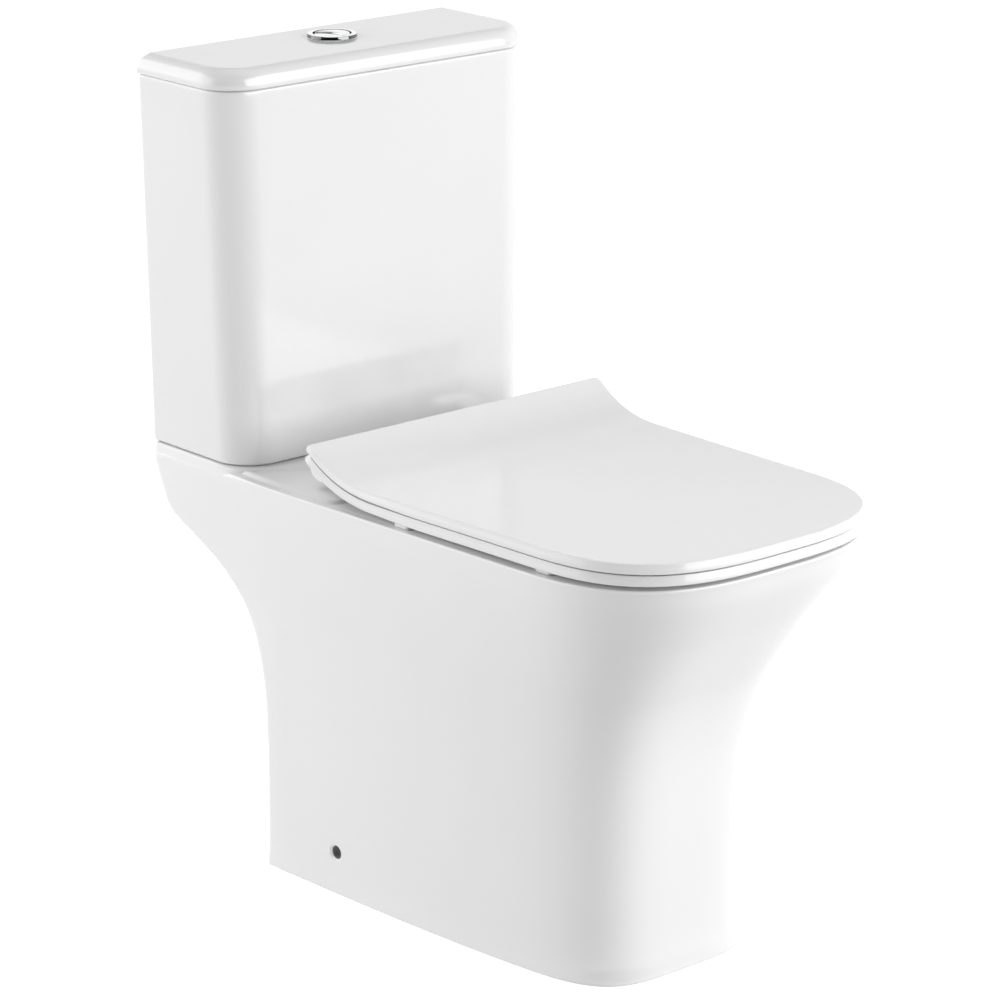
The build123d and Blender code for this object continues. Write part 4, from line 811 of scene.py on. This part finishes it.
# painted reflection: the wall of the ring, outside and inside, is a darker copy of the chrome under the bright top
# face, standing in for the dark surroundings it mirrors
bezel.data.materials.append(MAT["chrome_painted_reflection"])
for q in bezel.data.polygons:
    q.material_index = 0 if q.normal.z > 0.62 else 1
lens, rest = button_outlines()
stand_for(plate("half_button_plate", lens, LID_Z1 - 8.0, LID_Z1 + 2.6, 0.8), "half_flush_button")
stand_for(plate("full_button_plate", rest, LID_Z1 - 8.0, LID_Z1 + 3.5, 0.9, (0, 79)), "full_flush_button")
stand_for(build_seat_lid(), "seat_lid")
stand_for(build_seat_ring(), "seat_ring")
stand_for(build_seat_buffers(), "seat_buffers")

# ------------------------------------------------------------------ floor, light, camera
fl = bpy.data.meshes.new("floor")
fl.from_pydata([(-40, -40, 0), (40, -40, 0), (40, 40, 0), (-40, 40, 0)], [], [(0, 1, 2, 3)])
floor = bpy.data.objects.new("floor", fl)
bpy.context.scene.collection.objects.link(floor)
fm = bpy.data.materials.new("pale_floor")
fm.use_nodes = True
fb = fm.node_tree.nodes["Principled BSDF"]
fb.inputs["Base Color"].default_value = (0.04, 0.04, 0.04, 1)
fb.inputs["Roughness"].default_value = 0.9
fb.inputs["Specular IOR Level"].default_value = 0.0
fb.inputs["Emission Color"].default_value = (1, 1, 1, 1)
fb.inputs["Emission Strength"].default_value = 1.12
fl.materials.append(fm)
floor.visible_diffuse = False

world = bpy.data.worlds.new("studio")
bpy.context.scene.world = world
world.use_nodes = True
bg = world.node_tree.nodes.get("Background") or world.node_tree.nodes.new("ShaderNodeBackground")
if "World Output" in world.node_tree.nodes:
    world.node_tree.links.new(bg.outputs[0], world.node_tree.nodes["World Output"].inputs[0])
bg.inputs["Color"].default_value = (1, 1, 1, 1)
# soft white studio walls, a little brighter behind the object than in front of it
wt = world.node_tree
w_tc = wt.nodes.new("ShaderNodeTexCoord")
w_dot = wt.nodes.new("ShaderNodeVectorMath")
w_dot.operation = "DOT_PRODUCT"
w_dot.inputs[1].default_value = (0.656, 0.755, 0.0)
w_map = wt.nodes.new("ShaderNodeMapRange")
w_map.interpolation_type = "SMOOTHSTEP"
w_map.inputs["From Min"].default_value, w_map.inputs["From Max"].default_value = -0.8, 0.35
w_map.inputs["To Min"].default_value, w_map.inputs["To Max"].default_value = 0.06, 1.01
wt.links.new(w_tc.outputs["Generated"], w_dot.inputs[0])
wt.links.new(w_dot.outputs["Value"], w_map.inputs["Value"])
# light coming back up from the pale floor
w_sep = wt.nodes.new("ShaderNodeSeparateXYZ")
wt.links.new(w_tc.outputs["Generated"], w_sep.inputs[0])
w_up = wt.nodes.new("ShaderNodeMapRange")
w_up.interpolation_type = "SMOOTHSTEP"
w_up.inputs["From Min"].default_value, w_up.inputs["From Max"].default_value = -0.06, 0.06
wt.links.new(w_sep.outputs["Z"], w_up.inputs["Value"])
w_high = wt.nodes.new("ShaderNodeMapRange")
w_high.interpolation_type = "SMOOTHSTEP"
w_high.inputs["From Min"].default_value, w_high.inputs["From Max"].default_value = 0.38, 0.72
w_high.inputs["To Min"].default_value, w_high.inputs["To Max"].default_value = 1.0, 0.4
wt.links.new(w_sep.outputs["Z"], w_high.inputs["Value"])
w_mul = wt.nodes.new("ShaderNodeMath")
w_mul.operation = "MULTIPLY"
wt.links.new(w_map.outputs["Result"], w_mul.inputs[0])
wt.links.new(w_high.outputs["Result"], w_mul.inputs[1])
w_mix = wt.nodes.new("ShaderNodeMix")
w_mix.inputs["A"].default_value = 0.6
wt.links.new(w_up.outputs["Result"], w_mix.inputs["Factor"])
wt.links.new(w_mul.outputs["Value"], w_mix.inputs["B"])
wt.links.new(w_mix.outputs["Result"], bg.inputs["Strength"])


def area(name, loc, aim, size, power, size_y=None):
    li = bpy.data.lights.new(name, "AREA")
    li.shape = "RECTANGLE"
    li.size, li.size_y = size, size_y or size
    li.energy = power
    ob = bpy.data.objects.new(name, li)
    ob.location = loc
    ob.rotation_mode = "QUATERNION"
    ob.rotation_quaternion = (Vector(aim) - Vector(loc)).to_track_quat("-Z", "Y")
    bpy.context.scene.collection.objects.link(ob)
    return ob


area("left_box", (-2.68, 2.03, 1.62), (0, 0.05, 0.45), 3.6, 38, 2.1)
# share of the left light kept out of mirror reflections, for the soft sheen of the china
area("left_fill", (-2.68, 2.03, 1.0), (0, 0.05, 0.45), 4.0, 56, 1.7).visible_glossy = False
area("front_box", (1.20, -3.35, 1.8), (0, 0.05, 0.45), 3.6, 137, 2.6)
area("top_box", (0.0, 0.2, 3.6), (0, 0.2, 0.4), 2.4, 12)

cam = bpy.data.cameras.new("camera")
cam.sensor_fit = "HORIZONTAL"
cam.sensor_width = 36.0
cam.lens = 36.0 * 4053.8 / 1000.0
cam.clip_end = 200.0
co = bpy.data.objects.new("camera", cam)
bpy.context.scene.collection.objects.link(co)
az, el = math.radians(-41.0), math.radians(17.2)
back = Vector((math.sin(az) * math.cos(el), -math.cos(az) * math.cos(el), math.sin(el)))
co.location = Vector((2.57, 40.27, 380.5)) * MM + back * 3.7272
co.rotation_mode = "QUATERNION"
co.rotation_quaternion = (-back).to_track_quat("-Z", "Y")
bpy.context.scene.camera = co
bpy.context.scene.view_settings.view_transform = "Standard"
bpy.context.scene.view_settings.look = "None"
